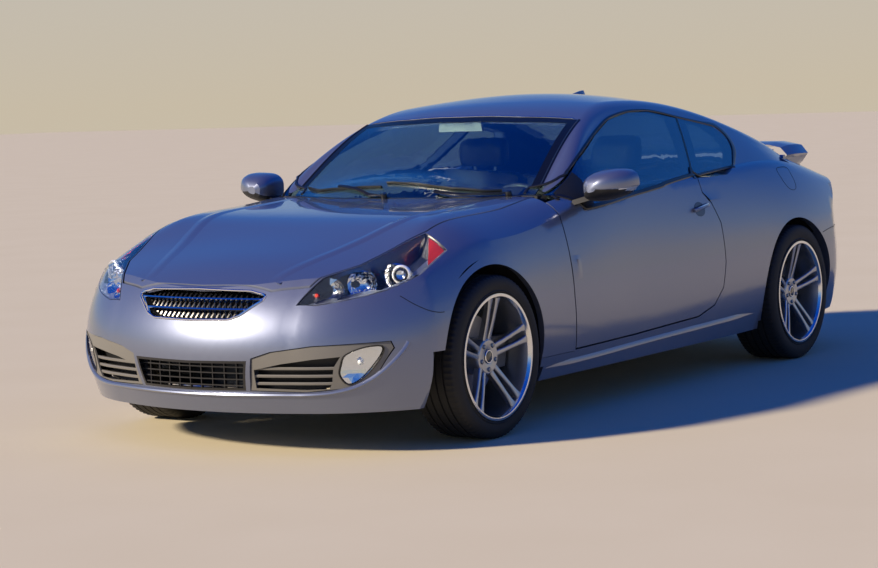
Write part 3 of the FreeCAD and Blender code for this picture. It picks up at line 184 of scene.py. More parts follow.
PAINTED = ("bonnet", "front_fenders", "side_frames", "roof", "door_left", "door_right", "front_bumper",
           "rear_bumper", "boot_lid", "rear_wing")
# The base coat is a blue-grey with fine aluminium flake that brightens towards the light, and the clear coat over it
# gives sharp reflections of sky and ground.
lacquer = finish_of("metallic lacquer", "#757d93", 0.76, 0.37, 1.2, vary=0.10, coat=1.0)
for panel in PAINTED:
    dress(panel, lacquer)


# Glass: a laminated windscreen bonded to its frame, tempered door windows that slide in the doors, and bonded rear
# and quarter windows. Light passes straight through into the cabin, so that the seats aren't in a dark shadow.
def clear_material(name, code, ior, shadow="#ffffff"):
    """A smooth see-through material whose shadows stay light."""
    material, tree = fresh_tree(name)
    body = add(tree, "ShaderNodeBsdfPrincipled",
               {"Base Color": rgb(code), "Roughness": 0.0, "Transmission Weight": 1.0, "IOR": ior})
    pass_through = add(tree, "ShaderNodeBsdfTransparent", {"Color": rgb(shadow)})
    path = add(tree, "ShaderNodeLightPath")
    mix = add(tree, "ShaderNodeMixShader", links={0: path.outputs["Is Shadow Ray"], 1: body.outputs[0],
                                                  2: pass_through.outputs[0]})
    add(tree, "ShaderNodeOutputMaterial", links={"Surface": mix.outputs[0]})
    return material


# Both glasses are smooth and tinted, green-grey in front and blue-grey at the sides. Their IOR is above that of real
# glass, because the panes in the photograph mirror more of the sky than it gives.
screen_glass = clear_material("laminated green-tinted glass", "#cfe0dc", 2.0, shadow="#b8c8c4")
side_glass = clear_material("tempered tinted glass", "#7d9db4", 2.6, shadow="#8c9da2")
dress("windscreen", screen_glass)
for pane in ("rear_windows", "door_glass_left", "door_glass_right"):
    dress(pane, side_glass)


# Tyres: low-profile radials, 225 mm wide in front and 245 mm behind, moulded from tread rubber and seated on the
# rims. The tread has four grooves and cuts across the shoulders, and a raised rib guards the rim's edge.
def turned(profile, steps, along, centre):
    """A body of revolution round an axis; the profile is (radius, distance along the axis) in mm."""
    along = along.normalized()
    side = along.orthogonal().normalized()
    other = along.cross(side)
    points, faces, n = [], [], len(profile)
    for k in range(steps):
        a = 2 * math.pi * k / steps
        ray = side * math.cos(a) + other * math.sin(a)
        points += [centre + (ray * r + along * d) / 1000 for r, d in profile]
        j = (k + 1) % steps
        faces += [(k * n + i, k * n + i + 1, j * n + i + 1, j * n + i) for i in range(n - 1)]
    return points, faces


def piece(name, mesh, material, body, replaces=()):
    """An object of the scene that rides on a body and takes the finish it is given."""
    points, faces = mesh
    data = bpy.data.meshes.new(name)
    data.from_pydata([tuple(p) for p in points], [], faces)
    work = bmesh.new()
    work.from_mesh(data)
    bmesh.ops.remove_doubles(work, verts=work.verts, dist=WELD)
    bmesh.ops.recalc_face_normals(work, faces=work.faces)
    work.to_mesh(data)
    work.free()
    data.materials.append(material)
    item = bpy.data.objects.new(name, data)
    bpy.context.scene.collection.objects.link(item)
    item.modifiers.new("creases", "NODES").node_group = creases
    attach(item, body)
    for node in replaces:
        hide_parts(node)
    return item


# Tread rubber is near black and dull, with a faint dusty mottle.
rubber = finish_of("tread rubber", "#141415", 0.0, 0.72, 0.8, vary=0.15, bump_mm=0.12)
AXLES = (("front", 1.455, 0.800, 331, 112.5), ("rear", -1.365, 0.8075, 339, 122.5))
WHEELS = []
for end, axle, track, radius, half in AXLES:
    for side, sign in (("left", 1), ("right", -1)):
        centre = Vector((axle, sign * track, radius / 1000))
        WHEELS.append((f"{end}_{side}", centre, Vector((0, sign, 0)), radius, half))
GROOVES, GROOVE_DEEP = (-57, -20, 20, 57), 7
CUTS, CUT_DEEP = 84, 0.004
for name, centre, out, radius, half in WHEELS:
    shoulder, groove = half - 18, radius - GROOVE_DEEP
    sidewall = [(248, half - 9), (255, half - 8), (262, half - 3), (267, half + 0.5), (271, half - 3),
                (284, half - 0.5), (297, half), (radius - 24, half - 2.5), (radius - 14, half - 7),
                (radius - 5, half - 13), (radius - 1.5, shoulder)]
    crown = [(radius, shoulder - 8)]
    for middle in reversed(GROOVES):
        crown += [(radius, middle + 4.5), (groove, middle + 3.5), (groove, middle - 3.5), (radius, middle - 4.5)]
    crown += [(radius, 8 - shoulder)]
    profile = sidewall + crown + [(r, -a) for r, a in reversed(sidewall)]
    points, faces = turned(profile, CUTS * 3, out, centre)
    count = len(profile)
    both_shoulders = (9, 10, 11, count - 12, count - 11, count - 10)
    for k in range(0, CUTS * 3, 3):
        for i in ((k + j) * count + place for j in (0, 1) for place in both_shoulders):
            ray = points[i] - centre
            ray -= out * ray.dot(out)
            points[i] = points[i] - ray.normalized() * CUT_DEEP
    piece(f"tread_{name}", (points, faces), rubber, f"wheel_{name}", [f"tyre_{name}"])


# Rims: cast alloy wheels bolted to the hubs, with five pairs of slim spokes that rise to a bright turned lip. A plain
# domed cap and five bolts fill the middle.
def merged(*meshes):
    """Several (points, faces) meshes as one."""
    points, faces = [], []
    for more, polygons in meshes:
        faces += [tuple(i + len(points) for i in face) for face in polygons]
        points += more
    return points, faces


def lofted(rows, closed=False, capped=True):
    """A skin over rows of points, each row a closed ring; closed also joins the last row to the first."""
    n, count = len(rows[0]), len(rows)
    points = [p for row in rows for p in row]
    faces = []
    for i in range(count if closed else count - 1):
        j = (i + 1) % count
        faces += [(i * n + k, i * n + (k + 1) % n, j * n + (k + 1) % n, j * n + k) for k in range(n)]
    if capped and not closed:
        faces += [tuple(range(n)), tuple((count - 1) * n + k for k in range(n))]
    return points, faces


# Lacquered casting is a soft silver, the turned lip is nearly a mirror, zinc plating is a duller grey, and the cap is
# a deep gloss black.
alloy = finish_of("silver-lacquered cast alloy", "#a9adb4", 0.9, 0.3, 1.5, vary=0.06, coat=0.4)
turned_lip = finish_of("turned bright alloy", "#e3e5e8", 1.0, 0.16, 0.6, vary=0.05)
bolt_steel = finish_of("zinc-plated steel", "#8f9296", 1.0, 0.35, 0.8, vary=0.1)
cap_black = finish_of("gloss black moulded cap", "#1b1d20", 0.0, 0.2, 1.0, vary=0.1, coat=1.0)
# Along a spoke: distance from the axle, height of its face and half width, in mm.
SPOKE_ROWS = [(52, 56, 12), (80, 60.5, 11.5), (110, 69, 10.4), (150, 79.5, 9.8), (190, 89, 10.2), (220, 96, 12.5),
              (239, 101, 17)]
PAIRS, BOLT_CIRCLE = 5, 0.052
for name, centre, out, radius, half in WHEELS:
    lip, rise = half - 0.5, half - 112.5
    barrel = turned([(257, lip), (256.5, lip - 7), (247, lip - 8.5), (246, 8 - half), (257, 8 - half), (257, -lip),
                     (240, -lip), (236, 20 - half), (232, -25), (237, 40), (238, lip - 16), (241, lip - 9),
                     (244, lip - 1.5), (250, lip), (257, lip)], 120, out, centre)
    hub = turned([(27, 58 + rise), (34, 60.5 + rise), (66, 60.5 + rise), (72, 57 + rise), (77, 45 + rise), (77, -28),
                  (26, -28), (26, 40 + rise), (27, 58 + rise)], 60, out, centre)
    spokes = []
    for pair in range(PAIRS):
        turn = math.radians(90 + 72 * pair)
        ray = Vector((math.cos(turn), 0, math.sin(turn)))
        side = ray.cross(out)
        for hand in (-1, 1):
            rows = []
            for r, face, wide in SPOKE_ROWS:
                middle = hand * (17 + 10 * (r - 78) / 157)
                deep = 30 - 8 * (r - 52) / 187
                section = [(-wide, -deep), (-wide, -4.5), (-wide + 3.2, -0.8), (-wide * 0.35, 0), (wide * 0.35, 0),
                           (wide - 3.2, -0.8), (wide, -4.5), (wide, -deep)]
                along = math.sqrt(max(0, r * r - middle * middle))
                rows.append([centre + (ray * along + side * (middle + a) + out * (face + rise + b)) / 1000
                             for a, b in section])
            spokes.append(lofted(rows))
    piece(f"spokes_{name}", merged(hub, barrel, *spokes), alloy, f"wheel_{name}", [f"rim_{name}"])
    bright = turned([(256.5, lip + 0.6), (251, lip + 1.4), (245, lip + 0.6), (241.5, lip - 6), (239, lip - 13),
                     (240, lip - 14), (246, lip - 4), (256.5, lip - 1), (256.5, lip + 0.6)], 120, out, centre)
    piece(f"lip_{name}", bright, turned_lip, f"wheel_{name}")
    domed = [(0.5, 65), (14, 64.4), (24, 62.4), (28.5, 59.5), (28.5, 52)]
    cap = turned([(r, d + rise) for r, d in domed], 40, out, centre)
    piece(f"cap_{name}", cap, cap_black, f"wheel_{name}")
    beaded = [(23.2, 63.6), (26, 63.6), (27.6, 61.6), (23.2, 62), (23.2, 63.6)]
    ring = turned([(r, d + rise) for r, d in beaded], 40, out, centre)
    piece(f"cap_ring_{name}", ring, turned_lip, f"wheel_{name}")
    bolts = []
    for k in range(5):
        turn = math.radians(54 + 72 * k)
        at = centre + Vector((math.cos(turn), 0, math.sin(turn))) * BOLT_CIRCLE
        bolts.append(turned([(0.5, 68 + rise), (7.5, 67.4 + rise), (10, 64 + rise), (10, 54 + rise)], 6, out, at))
    piece(f"bolts_{name}", merged(*bolts), bolt_steel, f"wheel_{name}")

# Brakes: vented iron discs clamped between hub and wheel, and iron callipers on the knuckles, seen between the
# spokes. Ground iron shows fine bright streaks, and the bare casting is rough and greyer.
disc_iron = finish_of("ground grey cast iron", "#8c8d90", 0.9, 0.36, 0.7, vary=0.18, stretch=(1, 8, 1))
calliper_iron = finish_of("bare cast iron with a silver wash", "#6f7174", 0.7, 0.55, 2.5, vary=0.2, bump_mm=0.3)
for name, *_ in WHEELS:
    dress(f"brake_disc_{name}", disc_iron)
for node in ("front_knuckle_left", "front_knuckle_right", "rear_knuckles"):
    dress(node, calliper_iron)


# Headlamps: a clear moulded lens clipped over a black tray. Inside sit faceted reflector bowls, a ringed projector, a
# turn-signal bulb, and an amber reflector at the outer end.
def mm(*xyz):
    """A point or a direction given in millimetres, in metres."""
    return Vector(xyz) / 1000


def surface_of(names):
    """A search tree over some nodes' meshes, and the node of each of its faces."""
    points, faces, owners = [], [], []
    for name in names:
        base = len(points)
        points += [nodes[name].matrix_world @ v.co for v in nodes[name].data.vertices]
        for face in nodes[name].data.polygons:
            faces.append([base + i for i in face.vertices])
            owners.append(name)
    return BVHTree.FromPolygons(points, faces), owners


OUTSIDE = (*PAINTED, "headlamps", "tail_lamps", "windscreen", "rear_windows", "door_glass_left",
           "door_glass_right", "scuttle")
body_tree, body_owner = surface_of(OUTSIDE)
# The ways that lines are cast: onto the left side, down onto the top, and forwards onto the back. Each starts FAR off,
# and one that only grazes a face doesn't count.
SIDE, TOP, BACK = Vector((0, -1, 0)), Vector((0, 0, -1)), Vector((1, 0, 0))
FAR, GRAZING = 4.0, 0.08
SPREAD = ((0, 0, 1), (0, 0, -1), (1, 0, 0), (-1, 0, 0), (0, 1, 0), (0, -1, 0))


def on_body(at, towards, lift=0.0, tree=body_tree, spread=0.007):
    """Where a line along a direction meets the body, raised by lift, and the outward normal there.

    Lines a little to each side are cast too, and the outermost counts, so that a gap doesn't swallow the line."""
    best = None
    for nudge in (Vector(), *(Vector(step) * spread for step in SPREAD if not Vector(step).dot(towards))):
        hit, out, _, far = tree.ray_cast(at + nudge - towards * FAR, towards)
        if hit is None or far > FAR + 0.1 or abs(out.dot(towards)) < GRAZING:
            continue
        out = out if out.dot(towards) < 0 else -out
        depth = (at - hit).dot(out) / towards.dot(out)
        if best is None or depth > best[0] + 0.0005:
            best = (depth, out)
        if spread == 0:
            break
    if best is None:
        raise ValueError(f"nothing at {at}")
    return at - towards * best[0] + best[1] * lift, best[1]


def mirrored(mesh):
    """A left-hand mesh turned into its right-hand twin."""
    points, faces = mesh
    return [Vector((p.x, -p.y, p.z)) for p in points], [tuple(reversed(face)) for face in faces]


def both(name, mesh, material, bodies, replaces=()):
    """A left-hand piece and its right-hand twin, each on its own body."""
    twin = [node.replace("_left", "_right") for node in replaces]
    return (piece(f"{name}_left", mesh, material, bodies, replaces),
            piece(f"{name}_right", mirrored(mesh), material, bodies.replace("_left", "_right"), twin))


def runs(ring):
    """Each point of a closed ring with the next one."""
    return zip(ring, ring[1:] + ring[:1])


def corners_of(ring):
    """Each point of a closed ring between the one before and the one after."""
    return zip(ring[-1:] + ring[:-1], ring, ring[1:] + ring[:1])


def winding(ring):
    """1 for a flat ring that goes round anticlockwise, and otherwise -1."""
    return 1 if sum(a[0] * b[1] - b[0] * a[1] for a, b in runs(ring)) > 0 else -1


def inside(at, ring):
    """Whether a flat point lies within a closed ring of points."""
    within = False
    for (ax, ay), (bx, by) in runs(ring):
        if (ay > at[1]) != (by > at[1]) and at[0] < ax + (bx - ax) * (at[1] - ay) / (by - ay):
            within = not within
    return within


def spaced(ring, step):
    """A closed ring with extra points, so that none of its runs is longer than a step."""
    out = []
    for a, b in runs(ring):
        count = max(1, math.ceil(math.dist(a, b) / step))
        out += [(a[0] + (b[0] - a[0]) * k / count, a[1] + (b[1] - a[1]) * k / count) for k in range(count)]
    return out


def panelled(outline, place, step, high, low, holes=()):
    """A plate cut from an outline with holes, in mm, and laid on a surface by place(a, b, lift).

    Its triangles are about as long as step, and high and low are the lifts of its two faces."""
    rings = [spaced(ring, step) for ring in (outline, *holes)]
    flat, edges = [], []
    for ring in rings:
        edges += [(len(flat) + k, len(flat) + (k + 1) % len(ring)) for k in range(len(ring))]
        flat += ring
    rim = len(flat)
    low_a, high_a = min(p[0] for p in rings[0]), max(p[0] for p in rings[0])
    low_b, high_b = min(p[1] for p in rings[0]), max(p[1] for p in rings[0])
    a = low_a + step / 2
    while a < high_a:
        b = low_b + step / 2
        while b < high_b:
            near = min(math.dist((a, b), p) for p in flat[:rim])
            if near > step * 0.6 and inside((a, b), rings[0]) and not any(inside((a, b), h) for h in rings[1:]):
                flat.append((a, b))
            b += step
        a += step
    verts, _, triangles, *_ = delaunay_2d_cdt([Vector(p) for p in flat], edges, [], 0, 1e-4)
    kept = []
    for triangle in triangles:
        middle = sum((verts[i] for i in triangle), Vector((0, 0))) / 3
        if inside(middle, rings[0]) and not any(inside(middle, h) for h in rings[1:]):
            kept.append(tuple(triangle))
    count = len(verts)
    points = [place(v.x, v.y, high) for v in verts] + [place(v.x, v.y, low) for v in verts]
    faces = kept + [tuple(i + count for i in reversed(t)) for t in kept]
    sides = {}
    for t in kept:
        for i, j in runs(t):
            sides[(i, j)] = (j, i) not in sides and sides.get((i, j), True)
            if (j, i) in sides:
                sides[(i, j)] = sides[(j, i)] = False
    faces += [(i, i + count, j + count, j) for (i, j), open_side in sides.items() if open_side]
    return points, faces


def rim_of(node, keep):
    """The ordered outer ring, in metres, of the faces of a node that are kept."""
    item = nodes[node]
    world_points = [item.matrix_world @ v.co for v in item.data.vertices]
    key = [tuple(round(c * 1e5) for c in p) for p in world_points]
    at, sides = {}, {}
    for face in item.data.polygons:
        normal = item.matrix_world.to_3x3() @ face.normal
        middle = item.matrix_world @ face.center
        if keep(normal, middle):
            ids = [key[i] for i in face.vertices]
            at.update({key[i]: world_points[i] for i in face.vertices})
            for i, j in runs(ids):
                if (j, i) in sides:
                    del sides[(j, i)]
                elif i != j:
                    sides[(i, j)] = True
    following = {i: j for i, j in sides}
    rings = []
    while following:
        first, ring = next(iter(following)), []
        here = first
        while here in following:
            ring.append(at[here])
            here = following.pop(here)
        rings.append(ring)
    return max(rings, key=lambda r: sum((b - a).length for a, b in zip(r, r[1:])))


def cut_ring(ring, a, b):
    """The part of a flat ring to the left of the line from a to b."""
    out = []

    def side(p):
        return (b[0] - a[0]) * (p[1] - a[1]) - (b[1] - a[1]) * (p[0] - a[0])

    for p, q in runs(ring):
        sp, sq = side(p), side(q)
        if sp >= 0:
            out.append(p)
        if sp * sq < 0:
            t = sp / (sp - sq)
            out.append((p[0] + (q[0] - p[0]) * t, p[1] + (q[1] - p[1]) * t))
    return out


lamp_tree, _ = surface_of(["headlamps"])


def on_lamp(x, y, lift):
    """A point of the left headlamp's outer face, raised along its normal."""
    return on_body(mm(x, y, 0), TOP, lift / 1000, lamp_tree)[0]


def shrunk(ring, by):
    """A flat ring moved inwards by a distance."""
    sign, out = winding(ring), []
    for before, at, after in corners_of(ring):
        one = Vector((at[0] - before[0], at[1] - before[1]))
        two = Vector((after[0] - at[0], after[1] - at[1]))
        along = (one.normalized() + two.normalized()).normalized() if one.length and two.length else Vector((1, 0))
        out.append((at[0] - along.y * sign * by, at[1] + along.x * sign * by))
    return out


# Polycarbonate is water-clear and bends light little in so thin a shell. Metallised chrome is a mirror, the tray a
# glossy black, the amber is a deep orange that turns brown in its folds, and the projector's ring is a satin white.
clear_plastic = clear_material("clear polycarbonate lens", "#f6f9fb", 1.30)
chrome = finish_of("vacuum-metallised chrome", "#eceef1", 1.0, 0.05, 3.0, vary=0.03)
lamp_black = finish_of("black moulded lamp tray", "#1c2026", 0.0, 0.25, 1.5, vary=0.15, coat=0.6)
amber = finish_of("amber moulded reflector", "#b8330a", 0.0, 0.22, 4.0, vary=0.12, bump_mm=0.5, coat=0.3,
                  other="#8c1406")
ring_white = finish_of("satin white-metallised ring", "#f2f4f6", 0.5, 0.3, 2.0, vary=0.03)

lamp_ring = [(p.x * 1000, p.y * 1000) for p in rim_of("headlamps", lambda n, c: n.z > 0.1 and c.y > 0)]
lens_ring = shrunk(lamp_ring, 1.5)
both("headlamp_lens", panelled(lens_ring, on_lamp, 30, -1, -4), clear_plastic, "root", ["headlamps"])


TRAY_DEPTHS = (2, 16, 46, 84)


def lamp_tray(ring):
    """A tray that goes down from the lens's rim and closes below."""
    rows, count, sign = [], len(ring), winding(ring)
    for depth in TRAY_DEPTHS:
        row = []
        for before, at, after in corners_of(ring):
            run = Vector((after[0] - before[0], after[1] - before[1])).normalized()
            inward = Vector((-run.y, run.x)) * sign
            share = 0.10 if inward.y > 0 else 0.55
            top = on_lamp(at[0], at[1], 0)
            row.append(top + mm(inward.x * depth * share, inward.y * depth * share, -depth))
        rows.append(row)
    points, faces = lofted(rows, capped=False)
    lowest, middle = (len(rows) - 1) * count, len(points)
    points.append(sum(rows[-1], Vector()) / count)
    faces += [(lowest + k, lowest + (k + 1) % count, middle) for k in range(count)]
    return points, faces


both("headlamp_tray", lamp_tray(spaced(shrunk(lamp_ring, 2.5), 25)), lamp_black, "root")


def under_lens(at):
    """A point moved down, where needed, so that it stays clear under the lens; None outside the lamp."""
    hit, out, _, _ = lamp_tree.ray_cast(Vector((at.x, at.y, 2)), TOP)
    if hit is None or out.z < 0.1:
        return None
    return Vector((at.x, at.y, min(at.z, hit.z - 0.006)))


def bowl(centre, axis, radius, depth, facets, rings, squash=1.0):
    """A faceted reflector bowl whose rim keeps under the lens."""
    axis = axis.normalized()
    side = axis.cross(Vector((0, 0, 1))).normalized()
    rise = side.cross(axis)
    points = []
    for i in range(rings + 1):
        share = max(0.08, i / rings)
        for k in range(facets):
            a = 2 * math.pi * (k + 0.5 * (i % 2)) / facets
            ray = side * math.cos(a) * squash + rise * math.sin(a)
            back = depth * (1 - share ** 2)
            reach = radius * share
            spot = None
            while spot is None and reach > 0:
                spot = under_lens(centre + (ray * reach - axis * back) / 1000)
                reach -= 2
            points.append(spot if spot is not None else centre)
    faces = [tuple(range(facets))]
    for i in range(rings):
        for k in range(facets):
            j = (k + 1) % facets
            a, b, c, d = i * facets + k, i * facets + j, (i + 1) * facets + j, (i + 1) * facets + k
            faces += [(a, b, d), (b, c, d)] if i % 2 else [(a, b, c), (a, c, d)]
    return points, faces


AIM, CORNER_AIM = Vector((0.94, 0.26, 0.12)), Vector((0.9, 0.1, 0.4))
BOWLS = (((2022, 655, -38), AIM, 62, 42, 18, 6), ((1912, 762, -38), AIM, 60, 40, 18, 6),
         ((2105, 545, -26), CORNER_AIM, 52, 26, 14, 5, 1.5), ((2150, 498, -18), CORNER_AIM, 26, 14, 12, 3, 1.3))
glitter = merged(*(bowl(on_lamp(*at), *shape) for at, *shape in BOWLS))
for item in both("headlamp_bowls", glitter, chrome, "root"):
    item.modifiers.clear()
eye = on_lamp(1907, 768, -30)
for name, radius, proud, material in (("ring", 37, 0, ring_white), ("collar", 27, 3, lamp_black)):
    rim = turned([(radius - 8, proud - 4), (radius - 8, proud + 5), (radius - 5, proud + 8), (radius, proud + 5),
                  (radius + 2, proud - 4)], 40, AIM, eye)
    both(f"projector_{name}", rim, material, "root")
dome = turned([(0.5, 19), (8, 18), (15, 14), (20, 7), (21, 2)], 32, AIM, eye)
both("projector_lens", dome, clear_plastic, "root")
both("projector_eye", turned([(0.5, -2), (12, 0), (21, 2)], 24, AIM, eye), chrome, "root")
amber_ring = cut_ring(shrunk(lamp_ring, 5), (1728, 773), (1881, 870))
both("headlamp_amber", panelled(amber_ring, on_lamp, 16, -7, -12), amber, "root")
bulb = turned([(0.5, 16), (6, 15), (9.5, 9), (9.5, 0)], 20, AIM, on_lamp(2132, 515, -24))
both("turn_bulb", bulb, amber, "root")


# Upper grille: a chrome-edged opening in the bumper cover, with two chrome bars in front of a black moulded lattice
# and a black tub behind, all clipped in from the back.
SUBSTEPS = 16


def rounded(points, step, closed=False):
    """Points at even steps along a smooth curve through the given ones."""
    points = [Vector(p) for p in points]
    count = len(points)
    spans = count if closed else count - 1
    dense = []
    for i in range(spans):
        a, b = points[i], points[(i + 1) % count]
        before = points[i - 1] if closed or i else a
        after = points[(i + 2) % count] if closed or i + 2 < count else b
        for k in range(SUBSTEPS):
            t = k / SUBSTEPS
            dense.append(0.5 * (2 * a + (b - before) * t + (2 * before - 5 * a + 4 * b - after) * t * t
                                + (3 * a - before - 3 * b + after) * t ** 3))
    dense.append(points[0] if closed else points[-1])
    lengths = [(b - a).length for a, b in zip(dense, dense[1:])]
    total = sum(lengths)
    number = max(2, round(total / step))
    out, done, i = [], 0.0, 0
    for k in range(number if closed else number + 1):
        goal = total * k / number
        while i < len(lengths) - 1 and done + lengths[i] < goal:
            done += lengths[i]
            i += 1
        share = (goal - done) / lengths[i] if lengths[i] else 0
        out.append(dense[i].lerp(dense[i + 1], min(1, share)))
    return out


def softened(ring, step):
    """A flat closed ring with its corners rounded, as plain pairs."""
    return [tuple(p) for p in rounded(ring, step, closed=True)]


def moulding(path, section, closed=False):
    """A strip along a path of (point, outward normal); its section is offsets across and outward in mm.

    A section may be a list, or a function of how far along the path it is, from 0 to 1."""
    rows, count = [], len(path)
    for i, (at, out) in enumerate(path):
        ahead = path[(i + 1) % count][0] if closed or i + 1 < count else at
        behind = path[i - 1][0] if closed or i else at
        side = (ahead - behind).cross(out).normalized()
        shape = section(i / max(1, count - 1)) if callable(section) else section
        rows.append([at + side * a / 1000 + out * b / 1000 for a, b in shape])
    return lofted(rows, closed)


# The nose's outline from the side, as height and how far it stands ahead of its tip, in mm; and where its plan
# curve's end arc passes, as distance back and half width.
NOSE_TIP, FLAT_HALF, FLAT_ARC = 2315, 450, 1387.5
END_ARC = ((75, 450), (200, 700), (420, 880))
ENDS = [(60, -95), (300, -14), (450, 0), (600, -58), (760, -190), (1150, -420)]


def nose_in(z):
    """How far the nose stands ahead of its tip at a height, in mm: 0 at the tip, and less elsewhere."""
    k = max(i for i in range(len(ENDS) - 1) if ENDS[i][0] <= z)
    (za, a), (zb, b) = ENDS[k], ENDS[k + 1]
    before, after = ENDS[max(0, k - 1)], ENDS[min(len(ENDS) - 1, k + 2)]
    ma = (b - before[1]) / (zb - before[0])
    mb = (after[1] - a) / (after[0] - za)
    t, run = (z - za) / (zb - za), zb - za
    return ((2 * t ** 3 - 3 * t * t + 1) * a + (t ** 3 - 2 * t * t + t) * run * ma
            + (3 * t * t - 2 * t ** 3) * b + (t ** 3 - t * t) * run * mb)


def plan_in(y):
    """How far the nose's plan curve has come back at a half width, in mm."""
    y = abs(y)
    if y <= FLAT_HALF:
        return FLAT_ARC - math.sqrt(FLAT_ARC ** 2 - y * y)
    (ax, ay), (bx, by), (cx, cy) = END_ARC
    d = 2 * (ax * (by - cy) + bx * (cy - ay) + cx * (ay - by))
    a2, b2, c2 = ax ** 2 + ay ** 2, bx ** 2 + by ** 2, cx ** 2 + cy ** 2
    ux = (a2 * (by - cy) + b2 * (cy - ay) + c2 * (ay - by)) / d
    uy = (a2 * (cx - bx) + b2 * (ax - cx) + c2 * (bx - ax)) / d
    return ux - math.sqrt(max(0, (ax - ux) ** 2 + (ay - uy) ** 2 - (y - uy) ** 2))


def on_nose(y, z, lift):
    """A point of the nose's plan curve at a height, moved out along its rough normal."""
    slope = (plan_in(y + 1) - plan_in(y - 1)) / 2
    out = Vector((1, slope, 0)).normalized()
    x = NOSE_TIP + nose_in(z) - plan_in(y)
    return mm(x + out.x * lift, y + out.y * lift, z)


def nose_out(y, z):
    """The direction in which the nose's plan curve faces at a half width."""
    return (on_nose(y, z, 60) - on_nose(y, z, 0)).normalized()


def along_nose(pairs, lift):
    """A path on the nose through (half width, height) pairs in mm."""
    return [(on_nose(y, z, lift), nose_out(y, z)) for y, z in pairs]


def bar(z, y_low, y_high, inset, section, cells=24):
    """A bar across an opening that follows the nose's plan curve, its section across z and outward."""
    return moulding(along_nose([(y_low + (y_high - y_low) * k / cells, z) for k in range(cells + 1)], -inset), section)


# Gloss moulding is a deep, slightly mirroring black, and grained plastic a softer, finely pitted one.
gloss_black = finish_of("gloss black moulding", "#111214", 0.0, 0.22, 2.0, vary=0.1, coat=0.7)
satin_black = finish_of("grained black plastic", "#17181a", 0.0, 0.5, 1.0, vary=0.1, bump_mm=0.1)
GRILLE = [(0, 662), (250, 656), (318, 640), (318, 618), (235, 556), (190, 540), (0, 536)]
grille_ring = GRILLE + [(-y, z) for y, z in reversed(GRILLE) if y]
soft_ring = softened(spaced(shrunk(grille_ring, 5), 40), 14)
edge_path = along_nose(soft_ring, 1)
rim = moulding(edge_path, [(-4.5, -14), (-4.5, 2), (-2, 5), (2, 5), (4.5, 2), (4.5, -14)], closed=True)
piece("grille_edge", rim, chrome, "root")
tub = moulding(edge_path, [(3, -2), (3, -72), (1, -72), (1, -2)], closed=True)
piece("grille_tub", tub, satin_black, "root")
BAR = [(-4.5, -7), (-4.5, 3), (0, 7), (4.5, 3), (4.5, -7)]
bars = merged(bar(620, -312, 312, 10, BAR), bar(582, -264, 264, 10, BAR))
piece("grille_bars", bars, chrome, "root", ["upper_grille"])
LATTICE_PITCH, LATTICE_LEAN, LATTICE_DEEP = 26, 0.45, 42
lattice = []
for k in range(-12, 13):
    for lean in (-LATTICE_LEAN, LATTICE_LEAN):
        path = [(on_nose(k * LATTICE_PITCH + lean * (z - 600), z, -LATTICE_DEEP), Vector((1, 0, 0)))
                for z in range(540, 661, 12)]
        path = [p for p in path if inside((p[0].y * 1000, p[0].z * 1000), grille_ring)]
        if len(path) > 1:
            lattice.append(moulding(path, [(-3, -5), (-3, 3), (3, 3), (3, -5)]))
piece("grille_lattice", merged(*lattice), gloss_black, "root")
back = panelled(soft_ring, lambda y, z, lift: on_nose(y, z, lift - 70), 30, 0, -3)
piece("grille_back", back, satin_black, "root")

# Lower intakes: a black grid in the middle, and on each side a moulded bezel with three blades and a tall fog lamp,
# clipped into the bumper cover. The bezel's plastic is a matt grey-brown.
bezel_grey = finish_of("moulded grey-brown plastic", "#6d6b66", 0.0, 0.42, 1.2, vary=0.08, bump_mm=0.05)
SIDE_INTAKE = [(300, 398), (380, 424), (540, 446), (790, 456), (800, 428), (740, 312), (650, 276), (500, 262),
               (276, 268), (284, 300)]
LOUVRES = [(306, 352), (420, 376), (540, 393), (640, 402), (614, 360), (602, 300), (588, 276), (500, 273), (304, 279)]
FOG = [(655, 408), (715, 436), (768, 438), (766, 402), (735, 350), (692, 305), (652, 292), (630, 330), (638, 370)]
BLADE = [(-3.5, -14), (-7, 9), (-3, 12), (4, 10), (6, -12)]
fog_ring = softened(FOG, 12)
bezel = panelled(shrunk(SIDE_INTAKE, 3), on_nose, 24, -5, -12, [LOUVRES, fog_ring])
both("intake_bezel", bezel, bezel_grey, "root", ["side_grilles"])
blades = merged(*(bar(z, 296, 632, 22, BLADE) for z in (296, 326, 356)))
both("intake_blades", blades, bezel_grey, "root")
both("intake_back", panelled(shrunk(SIDE_INTAKE, 6), on_nose, 40, -52, -56), satin_black, "root")
surround = moulding(along_nose(fog_ring, -4), [(-2, -40), (-2, 2), (2, 2), (5, -40)], closed=True)
both("fog_surround", surround, gloss_black, "root")
both("fog_lens", panelled(shrunk(fog_ring, 4), on_nose, 18, -8, -11), clear_plastic, "root", ["fog_lamps"])


def on_dish(y, z, lift):
    """A point of the fog lamp's reflector, which is deepest at its middle."""
    return on_nose(y, z, lift - 34 + 22 * min(1, math.hypot((y - 700) / 75, (z - 370) / 75)) ** 2)


for item in both("fog_dish", panelled(shrunk(fog_ring, 5), on_dish, 15, 0, -2), chrome, "root"):
    item.modifiers.clear()
bulb = turned([(0.5, 22), (7, 20), (12, 12), (13, 0)], 20, Vector((1, 0.3, 0)), on_nose(705, 378, -34))
both("fog_bulb", bulb, ring_white, "root")
dress("lower_grille", gloss_black)


# Window trims: extruded rubber pressed onto the edges of the side windows, thickest round the back of the quarter
# glass, with a belt strip along the door and a moulded pillar cover between the two panes.
def on_side(x, z, lift):
    """A point of the left side at a length and a height, in mm, raised along its normal, and that normal."""
    return on_body(mm(x, 0, z), SIDE, lift / 1000)


